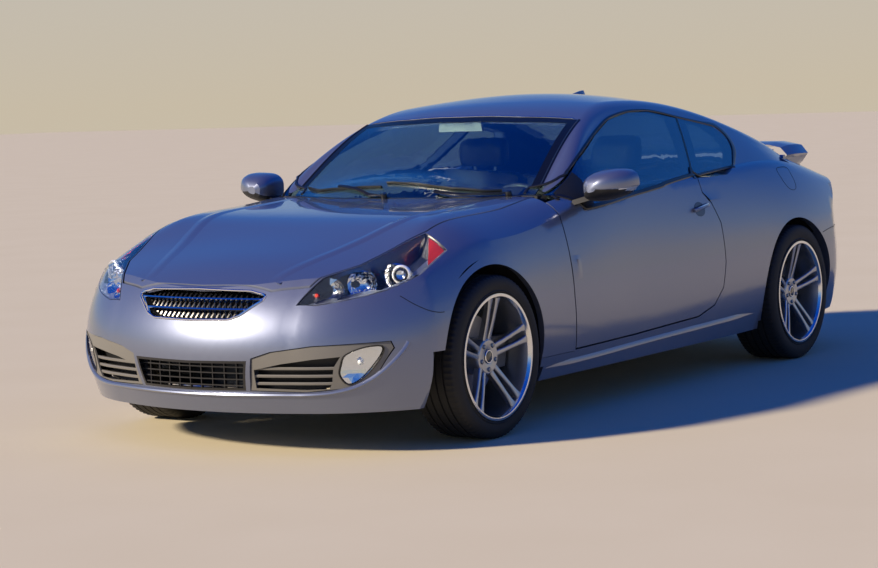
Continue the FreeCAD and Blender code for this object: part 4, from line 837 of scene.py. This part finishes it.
def side_point(x, z, lift):
    """The same point without its normal."""
    return on_side(x, z, lift)[0]


def along_side(pairs, step, lift=0.0):
    """A smooth path on the left side through (length, height) pairs in mm."""
    return [on_side(*p, lift) for p in rounded(pairs, step)]


def owner_at(at, towards):
    """The node that a line along a direction meets first."""
    _, _, face, _ = body_tree.ray_cast(at - towards * FAR, towards)
    return body_owner[face] if face is not None else None


def border(low, high, beyond):
    """The value between two, in mm, past which beyond(value) holds, to half a millimetre."""
    while high - low > 0.5:
        middle = (low + high) / 2
        if beyond(middle):
            high = middle
        else:
            low = middle
    return low, high


def lowest_glass(x):
    """The height at which the side window comes out of the body, at a length in mm."""
    highest = 1060.0 if x < 487 else 1060 - (x - 487) * 0.55
    return border(860.0, highest, lambda z: owner_at(mm(x, 0, z), SIDE) in ("door_glass_left", "rear_windows"))[1]


def window_trim(share):
    """The trim's section: thin along the pillar, and wide round the rear of the quarter glass."""
    rear = math.exp(-((share - 0.74) / 0.055) ** 2)
    wide = 8 + 22 * rear
    return [(-wide, -3), (-wide, 1.5), (-wide * 0.6, 4), (3.0, 4), (5, 1.5), (5, -3)]


# Extruded rubber is black with a soft sheen along its rounded edge.
trim_rubber = finish_of("black extruded rubber", "#101113", 0.0, 0.38, 0.9, vary=0.12, bump_mm=0.05, coat=0.3)
DOOR_TOP = [(738, 952), (676, 990), (600, 1028), (487, 1084), (350, 1140), (210, 1192), (110, 1226), (10, 1256),
            (-95, 1273), (-200, 1284), (-300, 1286), (-400, 1284), (-520, 1270), (-650, 1248), (-820, 1222),
            (-980, 1196), (-1030, 1178), (-1060, 1146), (-1062, 1110), (-1042, 1076), (-1006, 1046),
            *((x, lowest_glass(x) - 1) for x in range(-940, -469, 47))]
both("window_trim", moulding(along_side(DOOR_TOP, 22), window_trim), trim_rubber, "root")
belt = [on_side(x, lowest_glass(x) + 5, 0) for x in range(-470, 741, 22)]
strip = moulding(belt, [(-12, -4), (-12, 3), (-8, 6), (6, 6), (10, 2), (10, -4)])
both("belt_strip", strip, trim_rubber, "door_left")
PILLAR = [(-455, 958), (-520, 1056), (-590, 1154), (-655, 1246)]
gap = moulding(along_side(PILLAR, 25), [(-7, -3), (-7, 1), (7, 1), (7, -3)])
both("pillar_gap", gap, trim_rubber, "root")
cover = [on_side(p.x - 46, p.y, -14) for p in rounded(PILLAR, 25)]
both("pillar_cover", moulding(cover, [(-42, -6), (-42, 2), (42, 2), (42, -6)]), satin_black, "root")


# Windscreen edges: a band of black ceramic fired onto the glass, a rubber seal pressed in beside each pillar, and the
# bright lip of the roof above it. Fired ceramic is a flat, deep black under the glass's own gloss.
def on_screen(x, y, lift):
    """A point of the windscreen at a length and a half width, in mm, raised along its normal."""
    return on_body(mm(x, y, 0), TOP, lift / 1000, screen_tree)[0]


def on_top(x, y, lift=0.0):
    """A point of the car's upper side at x and y in mm, raised along its normal by metres, and that normal."""
    return on_body(mm(x, y, 0), TOP, lift)


def screen_x(y, share):
    """The length at a half width, from the top edge of the glass, 0, to where it meets the cowl, 1."""
    top = 283 - 15 * min(1, abs(y) / 300) - 50 * max(0, abs(y) - 300) / 290
    low = border(top + 200, 1000, lambda x: owner_at(mm(x, y, 0), TOP) != "windscreen")[0]
    return top + (low - top) * share


screen_tree, _ = surface_of(["windscreen"])
frit_black = finish_of("fired black ceramic band", "#08090a", 0.0, 0.30, 1.0, vary=0.1)
top_edge = [(screen_x(y, 0) + 4, y) for y in range(-580, 581, 40)]
band = [(x + 46, y * 0.985) for x, y in reversed(top_edge)]
piece("screen_band_top", panelled(top_edge + band, on_screen, 30, 0.8, 0.2), frit_black, "root")
edge = [(222 + (688 - 222) * t / 14, 588 + (655 - 588) * t / 14) for t in range(15)]
inner = [(x + 6, y - 42) for x, y in reversed(edge)]
side_band = panelled(shrunk(edge + inner, 2), on_screen, 25, 0.8, 0.2)
piece("screen_band_sides", merged(side_band, mirrored(side_band)), frit_black, "root")
seal = moulding([on_top(x, y + 2) for x, y in edge], [(-6, -3), (-6, 2), (0, 5), (6, 2), (6, -3)])
both("screen_seal", seal, trim_rubber, "root")
roof_lip = [on_top(screen_x(y, 0) - 5, y) for y in range(-560, 561, 35)]
lip = moulding(roof_lip, [(-4, -3), (-4, 2.5), (0, 4.5), (4, 2.5), (4, -3)])
piece("roof_lip", lip, turned_lip, "root")

# Wipers: two steel arms that turn on pivots in the cowl, each with a rubber blade that rests on the glass. Their
# baked black paint has a low, even gloss.
wiper_black = finish_of("satin black painted steel", "#141517", 0.3, 0.35, 1.5, vary=0.1, coat=0.3)
BEHIND_COWL = 14
wiper_parts = []
for pivot_y, reach in ((560, 560), (-20, 520)):
    pivot = on_top(screen_x(pivot_y, 1) + BEHIND_COWL, pivot_y, 0.012)[0]
    tip_y = pivot_y - reach
    tip_x = screen_x(tip_y, 1) - 70
    arm = []
    for t in (k / 12 for k in range(8)):
        y = pivot_y + (tip_y - pivot_y) * t
        x = (screen_x(y, 1) + BEHIND_COWL) * (1 - t) ** 0.6 + tip_x * (1 - (1 - t) ** 0.6)
        arm.append(on_top(x, y, 0.016))
    wiper_parts.append(moulding(arm, [(-8, -4), (-6, 3), (6, 3), (8, -4)]))
    blade = []
    for t in (k / 16 for k in range(17)):
        y = pivot_y + (tip_y - pivot_y) * (0.08 + t)
        blade.append(on_top(screen_x(y, 1) - 34 - 20 * t, y))
    wiper_parts.append(moulding(blade, [(-5, 1), (-4, 10), (0, 15), (4, 10), (5, 1)]))
    wiper_parts.append(turned([(0.5, 12), (12, 10), (15, 2), (15, -16)], 24, Vector((0.25, 0, 1)), pivot))
piece("wipers", merged(*wiper_parts), wiper_black, "root")


# Bonnet: two soft ridges pressed into its skin, which run forward from the cowl and turn in to the corners of the
# grille. They are lacquered with the rest of the panel.
def ridge_section(share):
    """A low swell that fades out at both ends."""
    tall = RIDGE_TALL * math.sin(math.pi * min(1, max(0, share))) ** 0.5
    half = [(8, tall * 0.9), (20, tall * 0.45), (34, -0.6 + tall * 0.10), (46, -1.5)]
    return [(-a, b) for a, b in reversed(half)] + [(0, tall)] + half


RIDGE_TALL = 5.0
RIDGE = [(845, 566), (1010, 566), (1266, 560), (1500, 528), (1700, 470), (1880, 405), (2040, 350), (2150, 316)]
ridge = moulding([on_top(*p) for p in rounded(RIDGE, 30)], ridge_section)
piece("bonnet_ridges", merged(ridge, mirrored(ridge)), lacquer, "bonnet")


# Front lip and sills: lacquered mouldings clipped on under the intakes, round the fog lamps and along the bottom of
# the doors. The sill's ledge tapers away at both ends.
def lip_section(share):
    """The lip's section, which stands prouder in the middle of the car."""
    proud = 3 * (1 - share)
    return [(-13, -6), (-11, 1), (-6, 5 + proud), (0, 7 + proud), (6, 2), (8, -6)]


def ledge_section(share):
    """The sill ledge's section, narrowed and flattened towards both ends."""
    return [(a * min(1, 0.2 + 9 * share, 0.2 + 9 * (1 - share)), max(-2, b * min(1, 9 * share, 9 * (1 - share))))
            for a, b in ((-20, -2), (-12, 3), (-2, 8), (3, 9), (6, 6), (8, -2))]


LIP = [(0, 248), (180, 249), (360, 251), (500, 252), (600, 260), (680, 282), (745, 322), (796, 376), (824, 420),
       (834, 446)]
both("front_lip", moulding(along_nose(rounded(LIP, 20), 0), lip_section), lacquer, "root")
SKIRT = [(1040, 232), (886, 234), (500, 242), (100, 252), (-300, 260), (-607, 267), (-900, 272)]
both("sill_ledge", moulding(along_side(SKIRT, 60), ledge_section), lacquer, "root")

# Seams and fuel flap: thin gaps where the bumper covers meet the wings, and round the pressed flap in the left rear
# wing. Each gap is a thin strip laid on the skin in near black, which is painted shade standing in for the gap's
# depth.
# Painted shade: the near black of these strips stands in for the shade deep in a gap.
painted_shade_and_soot = finish_of("painted gap shade and soot black", "#0a0b0d", 0.0, 0.6, 1.0, vary=0.1)
FRONT_SEAM = [(1958, 622), (1925, 588), (1880, 560), (1835, 549), (1806, 548)]
REAR_SEAM = [(-1640, 622), (-1785, 640), (-1950, 640), (-2080, 640)]
SEAM = [(-1.6, -1), (-1.6, 0.3), (1.6, 0.3), (1.6, -1)]
seams = merged(moulding(along_side(FRONT_SEAM, 12, 0.4), SEAM), moulding(along_side(REAR_SEAM, 25, 0.4), SEAM))
both("cover_seams", seams, painted_shade_and_soot, "root")
FLAP = [(-1335, 960), (-1345, 905), (-1370, 868), (-1410, 852), (-1455, 856), (-1478, 884), (-1482, 930), (-1474, 962),
        (-1410, 968)]
flap_path = [on_side(x, z, 0.4) for x, z in softened(FLAP, 12)]
flap_gap = moulding(flap_path, [(-1.3, -1), (-1.3, 0.3), (1.3, 0.3), (1.3, -1)], closed=True)
piece("fuel_flap_gap", flap_gap, painted_shade_and_soot, "root")


# Door handles: a lacquered bar on two feet over a cup in the door's skin, with a bright line let into its upper edge.
# The cup is a thin disc laid on the skin in a deeper, bluer lacquer than the door's: painted shade of the recess and
# painted sky reflection.
def handle_path(start_x, pitch, start_z, proud):
    """A line along the handle that turns in to the door at both ends."""
    return [on_side(start_x - k * pitch, start_z + k * 2.0, proud - 20 * abs(k / 5 - 1) ** 4) for k in range(11)]


# Painted shade and painted sky reflection: the disc's dark blue stands in for the light that a recess would lose.
painted_cup_shade = finish_of("painted shade in the handle's cup", "#1c2b49", 0.7, 0.34, 1.2, vary=0.1, coat=0.8)
turns = [2 * math.pi * k / 36 for k in range(36)]
cup = [(-404 + 50 * math.cos(a), 814 + 34 * math.sin(a)) for a in turns]
both("handle_cup_shade", panelled(cup, side_point, 14, 0.8, -1), painted_cup_shade, "door_left")
grab = moulding(handle_path(-338, 14.5, 810, 26), [(-9, -4), (-9, 3), (-4, 7), (4, 7), (9, 3), (9, -4)])
both("handle_bar", grab, lacquer, "door_left")
shine = moulding(handle_path(-343, 13.6, 816, 31), [(-1.8, -2), (-1.8, 2), (1.8, 2), (1.8, -2)])
both("handle_shine", shine, chrome, "door_left")


# Hinge covers: a thin lacquered plate bonded to each door's skin, over the place where the upper hinge's pocket
# comes through it. It carries the skin's curve across from the heights above and below.
def over_pocket(x, z, lift):
    """A point of the door's skin, as if the pocket weren't there."""
    total = Vector()
    for known in SOUND_HEIGHTS:
        weight = 1.0
        for other in SOUND_HEIGHTS:
            if other != known:
                weight *= (z - other) / (known - other)
        total += on_body(mm(min(x, SOUND_AHEAD), 0, known), SIDE, spread=0)[0] * weight
    over_pin = 4.0 * math.exp(-((x - 779) / 30) ** 2) * math.exp(-((z - 640) / 46) ** 4)
    return Vector((x / 1000, total.y + (lift + over_pin) / 1000, z / 1000))


SOUND_HEIGHTS, SOUND_AHEAD = (560, 585, 695, 720), 818
COVER = [(748, 590), (826, 590), (826, 690), (748, 690)]
both("hinge_cover", panelled(COVER, over_pocket, 9, 0.9, -1.2), lacquer, "door_left")

# Door mirrors: a lacquered cap clipped over a black base, a turn signal let into its outer face, silvered glass at
# the back, and a foot bolted through a black sail at the front corner of the window.
# The signal's clear ribbed lens sparkles over its reflector, and silvered glass is an even mirror.
signal_lens = finish_of("clear ribbed signal lens", "#dfe4ea", 0.6, 0.12, 6.0, vary=0.1, bump_mm=0.6, coat=1.0)
silvered = finish_of("silvered mirror glass", "#e6ebee", 1.0, 0.02, 4.0, vary=0.02)
# Along the shell, in mm: length, middle half width, half depth, middle height and half height.
MIRROR = [(528, 968, 92, 984, 57), (538, 968, 100, 984, 63), (575, 966, 102, 984, 65), (615, 962, 98, 982, 64),
          (655, 953, 87, 979, 58), (684, 943, 71, 976, 48), (703, 933, 48, 973, 34), (713, 928, 22, 971, 17)]
AROUND, DROOP = 72, (0.05, 0.26)
rings = []
for x, y, half_y, z, half_z in MIRROR:
    ring = []
    for k in range(AROUND):
        a = 2 * math.pi * k / AROUND
        ca, sa = math.cos(a), math.sin(a)
        outward = half_y * math.copysign(abs(ca) ** 0.72, ca)
        rise = half_z * math.copysign(abs(sa) ** 0.78, sa) + outward * DROOP[sa < 0] * min(1, abs(sa) * 2)
        ring.append(mm(x, y + outward, z + rise))
    rings.append(ring)
shell = [p for ring in rings for p in ring]
cap, base, signal = [], [], []
for i in range(len(rings) - 1):
    for k in range(AROUND):
        j = (k + 1) % AROUND
        degrees = 360 * (k + 0.5) / AROUND
        lit = 1 <= i <= 4 and 305 + 6 * i <= degrees <= 346
        group = signal if lit else base if 200 < degrees < 330 else cap
        group.append((i * AROUND + k, i * AROUND + j, (i + 1) * AROUND + j, (i + 1) * AROUND + k))
cap.append(tuple((len(rings) - 1) * AROUND + k for k in range(AROUND)))
both("mirror_cap", (shell, cap), lacquer, "door_left", ["door_mirror_left"])
both("mirror_base", (shell, base), satin_black, "door_left")
both("mirror_signal", (shell, signal), signal_lens, "door_left")
bezel = [mm(530, 968 + (p.y * 1000 - 968) * 0.95, 984 + (p.z * 1000 - 984) * 0.94) for p in rings[0]]
both("mirror_glass", (bezel, [tuple(range(AROUND))]), silvered, "door_left")
rim = [(k, (k + 1) % AROUND, AROUND + (k + 1) % AROUND, AROUND + k) for k in range(AROUND)]
both("mirror_rim", (rings[0] + bezel, rim), satin_black, "door_left")
foot = [(mm(640 - 3 * t, 800 + 13 * t, 908 + 3.6 * t), Vector((0, 0.2, 1)).normalized()) for t in range(9)]
stem = moulding(foot, lambda t: [(-44 + 14 * t, -12), (-36 + 12 * t, 12), (36 - 12 * t, 12), (44 - 14 * t, -12)])
both("mirror_foot", stem, satin_black, "door_left")
SAIL = [(706, 952), (640, 990), (560, 1034), (546, 1002), *((x, lowest_glass(x) + 6) for x in (552, 600, 650, 700))]
both("mirror_sail", panelled(SAIL, side_point, 18, 4, 0), satin_black, "door_left")

# Aerial: a small moulded fin, lacquered with the body and screwed down on the middle of the roof's rear edge. Each
# row is a length, a height and a half width in mm.
FIN = [(-630, 0, 0.5), (-700, 10, 5), (-760, 26, 9), (-800, 38, 11), (-830, 44, 10), (-842, 30, 9), (-846, 0, 8)]
fin_points = []
for x, tall, wide in FIN:
    on_roof = on_top(x, 0)[0]
    half = [(wide * 0.35, tall), (wide, tall * 0.6), (wide + 8, -2)]
    fin_points += [on_roof + mm(0, a, b) for a, b in [(-a, b) for a, b in reversed(half)] + half]
fin_faces = [(i * 6 + k, i * 6 + k + 1, i * 6 + k + 7, i * 6 + k + 6) for i in range(len(FIN) - 1) for k in range(5)]
piece("aerial_fin", (fin_points, fin_faces), lacquer, "root")


# Seats: leather covers sewn over moulded foam on steel frames, bolted to the floor rails. Each is a crowned body with
# channelled inserts and bolsters at its sides, and the head restraint stands on two steel posts.
def cushion(outline, low, high, soft, step=26):
    """A crowned body from a side outline, in mm, whose sides pull in by soft towards its ends."""
    ring = [(p.x, p.y) for p in rounded(outline, step, closed=True)]
    rows = []
    for share in SLICES:
        end = abs(2 * share - 1)
        pull = soft * (1 - math.sqrt(max(0.0, 1 - end ** 6)))
        rows.append([mm(a, low + (high - low) * share, b) for a, b in shrunk(ring, pull)])
    return lofted(rows)


def pad(path, middle, half, thick, channels, cells=18):
    """A sewn pad along a side path in mm: crowned across and along, and pressed in at each channel's seam."""
    line = rounded(path, 9)
    count, n = len(line), cells + 1
    tops, bottoms = [], []
    for i, at in enumerate(line):
        run = (line[min(i + 1, count - 1)] - line[max(i - 1, 0)]).normalized()
        out = Vector((-run.y, run.x))
        along = i / (count - 1)
        seam = abs(along * channels - round(along * channels))
        pressed = 0.5 * math.exp(-(seam / 0.11) ** 2) if channels else 0
        for k in range(n):
            u = 2 * k / cells - 1
            lift = thick * (1 - abs(u) ** 5) ** 0.6 * (1 - abs(2 * along - 1) ** 10) ** 0.5
            lift *= 1 - pressed
            base = mm(at.x, middle + u * half, at.y)
            tops.append(base + mm(out.x, 0, out.y) * (lift - 1))
            bottoms.append(base - mm(out.x, 0, out.y) * PAD_DEEP)
    under = len(tops)
    quads = [(i * n + k, i * n + k + 1, (i + 1) * n + k + 1, (i + 1) * n + k)
             for i in range(count - 1) for k in range(cells)]
    faces = quads + [tuple(v + under for v in reversed(q)) for q in quads]
    edge = list(range(n)) + [i * n + cells for i in range(1, count)]
    edge += [(count - 1) * n + k for k in range(cells - 1, -1, -1)] + [i * n for i in range(count - 2, 0, -1)]
    faces += [(a, b, b + under, a + under) for a, b in runs(edge)]
    return tops + bottoms, faces


def upholster(name, mesh, finish, replaces=()):
    """A padded piece on the left and its twin on the right."""
    for twin in both(name, mesh, finish, "root", replaces):
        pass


# Grained leather is a warm charcoal with a low sheen, the perforated insert is greyer and more matt, and the posts are
# bright.
leather = finish_of("dark grained leather", "#34363c", 0.0, 0.42, 1.6, vary=0.14, bump_mm=0.12, coat=0.15)
insert = finish_of("perforated leather insert", "#4a4e57", 0.0, 0.50, 3.0, vary=0.16, bump_mm=0.3)
post_steel = finish_of("polished steel post", "#c4c7cb", 1.0, 0.16, 2.0, vary=0.05)
SLICES = [0, 0.02, 0.05, 0.1, 0.17, 0.26, 0.38, 0.5, 0.62, 0.74, 0.83, 0.9, 0.95, 0.98, 1]
PAD_DEEP, SEAT_Y = 8, 375
SEAT = [(200, 290), (225, 400), (170, 448), (-215, 400), (-395, 930), (-440, 985), (-500, 975), (-520, 900),
        (-345, 330), (-300, 290)]
HEADREST = [(-430, 1020), (-425, 1120), (-470, 1170), (-520, 1150), (-515, 1040), (-470, 1010)]
CUSHION_LINE = [(-196, 403), (-60, 420), (80, 438), (168, 447), (212, 420)]
BACK_LINE = [(-392, 918), (-352, 800), (-300, 648), (-256, 520), (-222, 424)]
upholster("seat_body", cushion(SEAT, SEAT_Y - 228, SEAT_Y + 228, 34), leather, ["front_seats"])
sewn = merged(pad(CUSHION_LINE, SEAT_Y, 118, 20, 4), pad(BACK_LINE, SEAT_Y, 112, 22, 7))
upholster("seat_insert", sewn, insert)
bolsters = merged(*(pad(line, SEAT_Y + side * 168, 50, thick, 0) for side in (-1, 1)
                    for line, thick in ((CUSHION_LINE, 38), (BACK_LINE, 52))))
upholster("seat_bolsters", bolsters, leather)
upholster("headrest", cushion(HEADREST, SEAT_Y - 130, SEAT_Y + 130, 26, step=14), leather)
POST = [(0.2, 0), (8, 0), (8, 90), (0.2, 90)]
posts = merged(*(turned(POST, 20, Vector((-8, 0, 80)), mm(-470, SEAT_Y + side * 60, 960)) for side in (-1, 1)))
both("headrest_posts", posts, post_steel, "root")

# Rear seat: two moulded foam places under one sewn leather cover, seamed between them and hooked to the floor and
# the bulkhead.
REAR_SEAT = [(-605, 341), (-590, 450), (-640, 480), (-1000, 440), (-1120, 890), (-1165, 924), (-1178, 880),
             (-1105, 434), (-1026, 434), (-975, 341)]
REAR_CUSHION = [(-985, 443), (-860, 452), (-730, 469), (-648, 479)]
REAR_BACK = [(-1108, 852), (-1072, 716), (-1036, 580), (-1008, 470)]
upholster("rear_seat_cover", cushion(REAR_SEAT, 8, 575, 24, step=24), leather, ["rear_seat"])
sewn = merged(pad(REAR_CUSHION, 290, 170, 18, 4), pad(REAR_BACK, 290, 170, 20, 6))
upholster("rear_seat_insert", sewn, insert)

# Cabin mouldings: soft-touch dashboard and tunnel console screwed to the bulkhead, a leather-rimmed steering wheel
# on its column, and the inside mirror bonded to the screen.
# Soft-touch skin is matt and dark, rim leather shines a little where hands hold it, satin trim is a calm silver, and
# the dials sit under clear black covers.
soft_touch = finish_of("soft-touch moulding", "#1d1e21", 0.0, 0.62, 1.1, vary=0.12, bump_mm=0.15)
rim_leather = finish_of("stitched rim leather", "#3a3c40", 0.0, 0.40, 1.4, vary=0.12, bump_mm=0.1, coat=0.2)
satin_silver = finish_of("satin silver trim", "#a9acb1", 0.8, 0.34, 1.5, vary=0.05)
dial_face = finish_of("printed instrument dial", "#0c0d10", 0.0, 0.3, 2.0, vary=0.1, coat=0.6)
for node, finish in (("dashboard", soft_touch), ("parcel_shelf", soft_touch), ("centre_console", satin_black),
                     ("steering_wheel", rim_leather), ("inside_mirror", satin_silver)):
    dress(node, finish)
DIAL = [(0.2, 0), (52, 0), (58, 6), (62, 6), (62, -6), (0.2, -6)]
dials = merged(*(turned(DIAL, 40, Vector((-0.94, 0, 0.34)), mm(402, y, 868)) for y in (300, 430)))
piece("instrument_dials", dials, dial_face, "root")
VENT = [(0.2, 2), (30, 2), (34, 6), (40, 6), (42, 0), (42, -6), (0.2, -6)]
vents = merged(*(turned(VENT, 36, Vector((-0.9, 0, 0.42)), mm(372, y, 800)) for y in (-640, -90, 90, 640)))
piece("air_vents", vents, satin_silver, "root")


# Tail lamps and rear reflectors: moulded acrylic lenses bolted on from inside the rear corners, with reflectors in
# the bumper and a high brake light in the lid. Red acrylic is deep and glassy, with a faint prism pattern.
def on_back(y, z, lift):
    """A point of the car's back at a half width and a height, in mm, raised along its normal."""
    return on_body(mm(0, y, z), BACK, lift / 1000)[0]


def back_plate(corners, step, high, low, holes=()):
    """A plate on the car's back."""
    return panelled(corners, on_back, step, high, low, holes)


def box_ring(half, low, high):
    """The corners of a rectangle across the middle of the car."""
    return [(-half, low), (half, low), (half, high), (-half, high)]


red_lens = finish_of("red acrylic lens", "#7a0508", 0.0, 0.12, 7.0, vary=0.2, bump_mm=0.3, coat=0.6)
dress("tail_lamps", red_lens)
reflector = back_plate([(560, 372), (716, 384), (716, 402), (560, 392)], 20, 2.5, -3)
both("rear_reflector", reflector, red_lens, "root")
piece("high_brake_light", back_plate(box_ring(130, 862, 876), 20, 3, -2), red_lens, "boot_lid")

# Rear bumper fittings: a blank plate in a recessed moulded holder, and a black diffuser with three ribs, clipped into
# the cover. The plate's paint is an even pale grey.
plate_paint = finish_of("blank painted plate", "#c9cbcd", 0.1, 0.4, 3.0, vary=0.04)
holder = back_plate(box_ring(270, 505, 630), 24, 6, -4, [box_ring(256, 516, 619)])
piece("plate_frame", holder, satin_black, "root")
piece("plate_blank", back_plate(box_ring(254, 518, 617), 24, 2, -2), plate_paint, "root")
diffuser = back_plate([(-380, 262), (380, 262), (420, 360), (-420, 360)], 24, 4, -3)
ribs = [back_plate([(y - 5, 266), (y + 5, 266), (y + 5, 352), (y - 5, 352)], 24, 20, 2) for y in (-240, 0, 240)]
piece("diffuser", merged(diffuser, *ribs), satin_black, "root")

# Exhaust: welded stainless pipes and silencer hung from the floor on rubber, with a bright rolled tip at each side.
# Heat has tinted the steel a dull straw.
stainless = finish_of("heat-tinted stainless steel", "#8d857b", 1.0, 0.38, 6.0, vary=0.12, stretch=(0.2, 1, 1),
                      other="#a59a88")
dress("exhaust", stainless)
BACKWARD, TIP = Vector((-1, 0, 0)), mm(-2276, 500, 290)
tips = turned([(36, -60), (37, 3), (40, 8), (44, 8), (47, 3), (48, -4), (48, -60)], 48, BACKWARD, TIP)
both("exhaust_tip", tips, chrome, "root")
# The near-black dish inside each tip is painted shade in the pipe, together with its real soot.
both("tip_inside", turned([(0.2, -50), (35, -50), (36, 2)], 40, BACKWARD, TIP), painted_shade_and_soot, "root")

# Boot lid: a pressed lid on two hinges, lacquered with the body. A grip strip in the same lacquer is bonded along its
# lower edge, where a hand lifts it.
grip = [(on_back(y, 668, 0), Vector((-1, 0, 0.1)).normalized()) for y in range(-300, 301, 25)]
strip = moulding(grip, [(-10, -3), (-8, 8), (0, 12), (8, 10), (12, -3)])
piece("lid_grip", strip, lacquer, "boot_lid")

# Underside and engine bay: sealed floor, felted wheel liners, black-painted subframes and arms, cast engine,
# finned radiator and a blow-moulded fuel tank, all bolted to the shell.
# Underseal is pebbled and matt, felt has no shine at all, chassis enamel is a smooth satin black, sand-cast alloy is
# grainy, the radiator's core is ribbed, the tank's skin is faintly wavy, and the shaft's paint is thin over steel.
underseal = finish_of("black underseal", "#1b1c1e", 0.0, 0.75, 5.0, vary=0.2, bump_mm=0.6)
felt = finish_of("felted liner", "#131416", 0.0, 0.9, 2.0, vary=0.25, bump_mm=0.5)
chassis_black = finish_of("chassis enamel", "#1e2023", 0.2, 0.42, 2.5, vary=0.12, coat=0.3)
cast_alloy = finish_of("sand-cast alloy", "#82858a", 0.9, 0.52, 2.2, vary=0.15, bump_mm=0.3)
fin_alloy = finish_of("finned radiator core", "#5d6064", 0.9, 0.45, 4.0, vary=0.3, bump_mm=0.8, stretch=(1, 0.1, 3))
tank_plastic = finish_of("blow-moulded tank", "#202124", 0.0, 0.55, 8.0, vary=0.12, bump_mm=0.3)
shaft_steel = finish_of("painted shaft steel", "#4a4c50", 0.8, 0.4, 2.0, vary=0.1)
for node, finish in (("floor_pan", underseal), ("wheel_liners", felt), ("front_subframe", chassis_black),
                     ("rear_suspension", chassis_black), ("engine_block", cast_alloy), ("radiator", fin_alloy),
                     ("fuel_tank", tank_plastic), ("driveline", shaft_steel), ("scuttle", satin_black)):
    dress(node, finish)

# Solids that a finer piece of this file stands for. They don't show, and take plain grained plastic.
for name, item in nodes.items():
    if not item.modifiers:
        dress(name, satin_black)
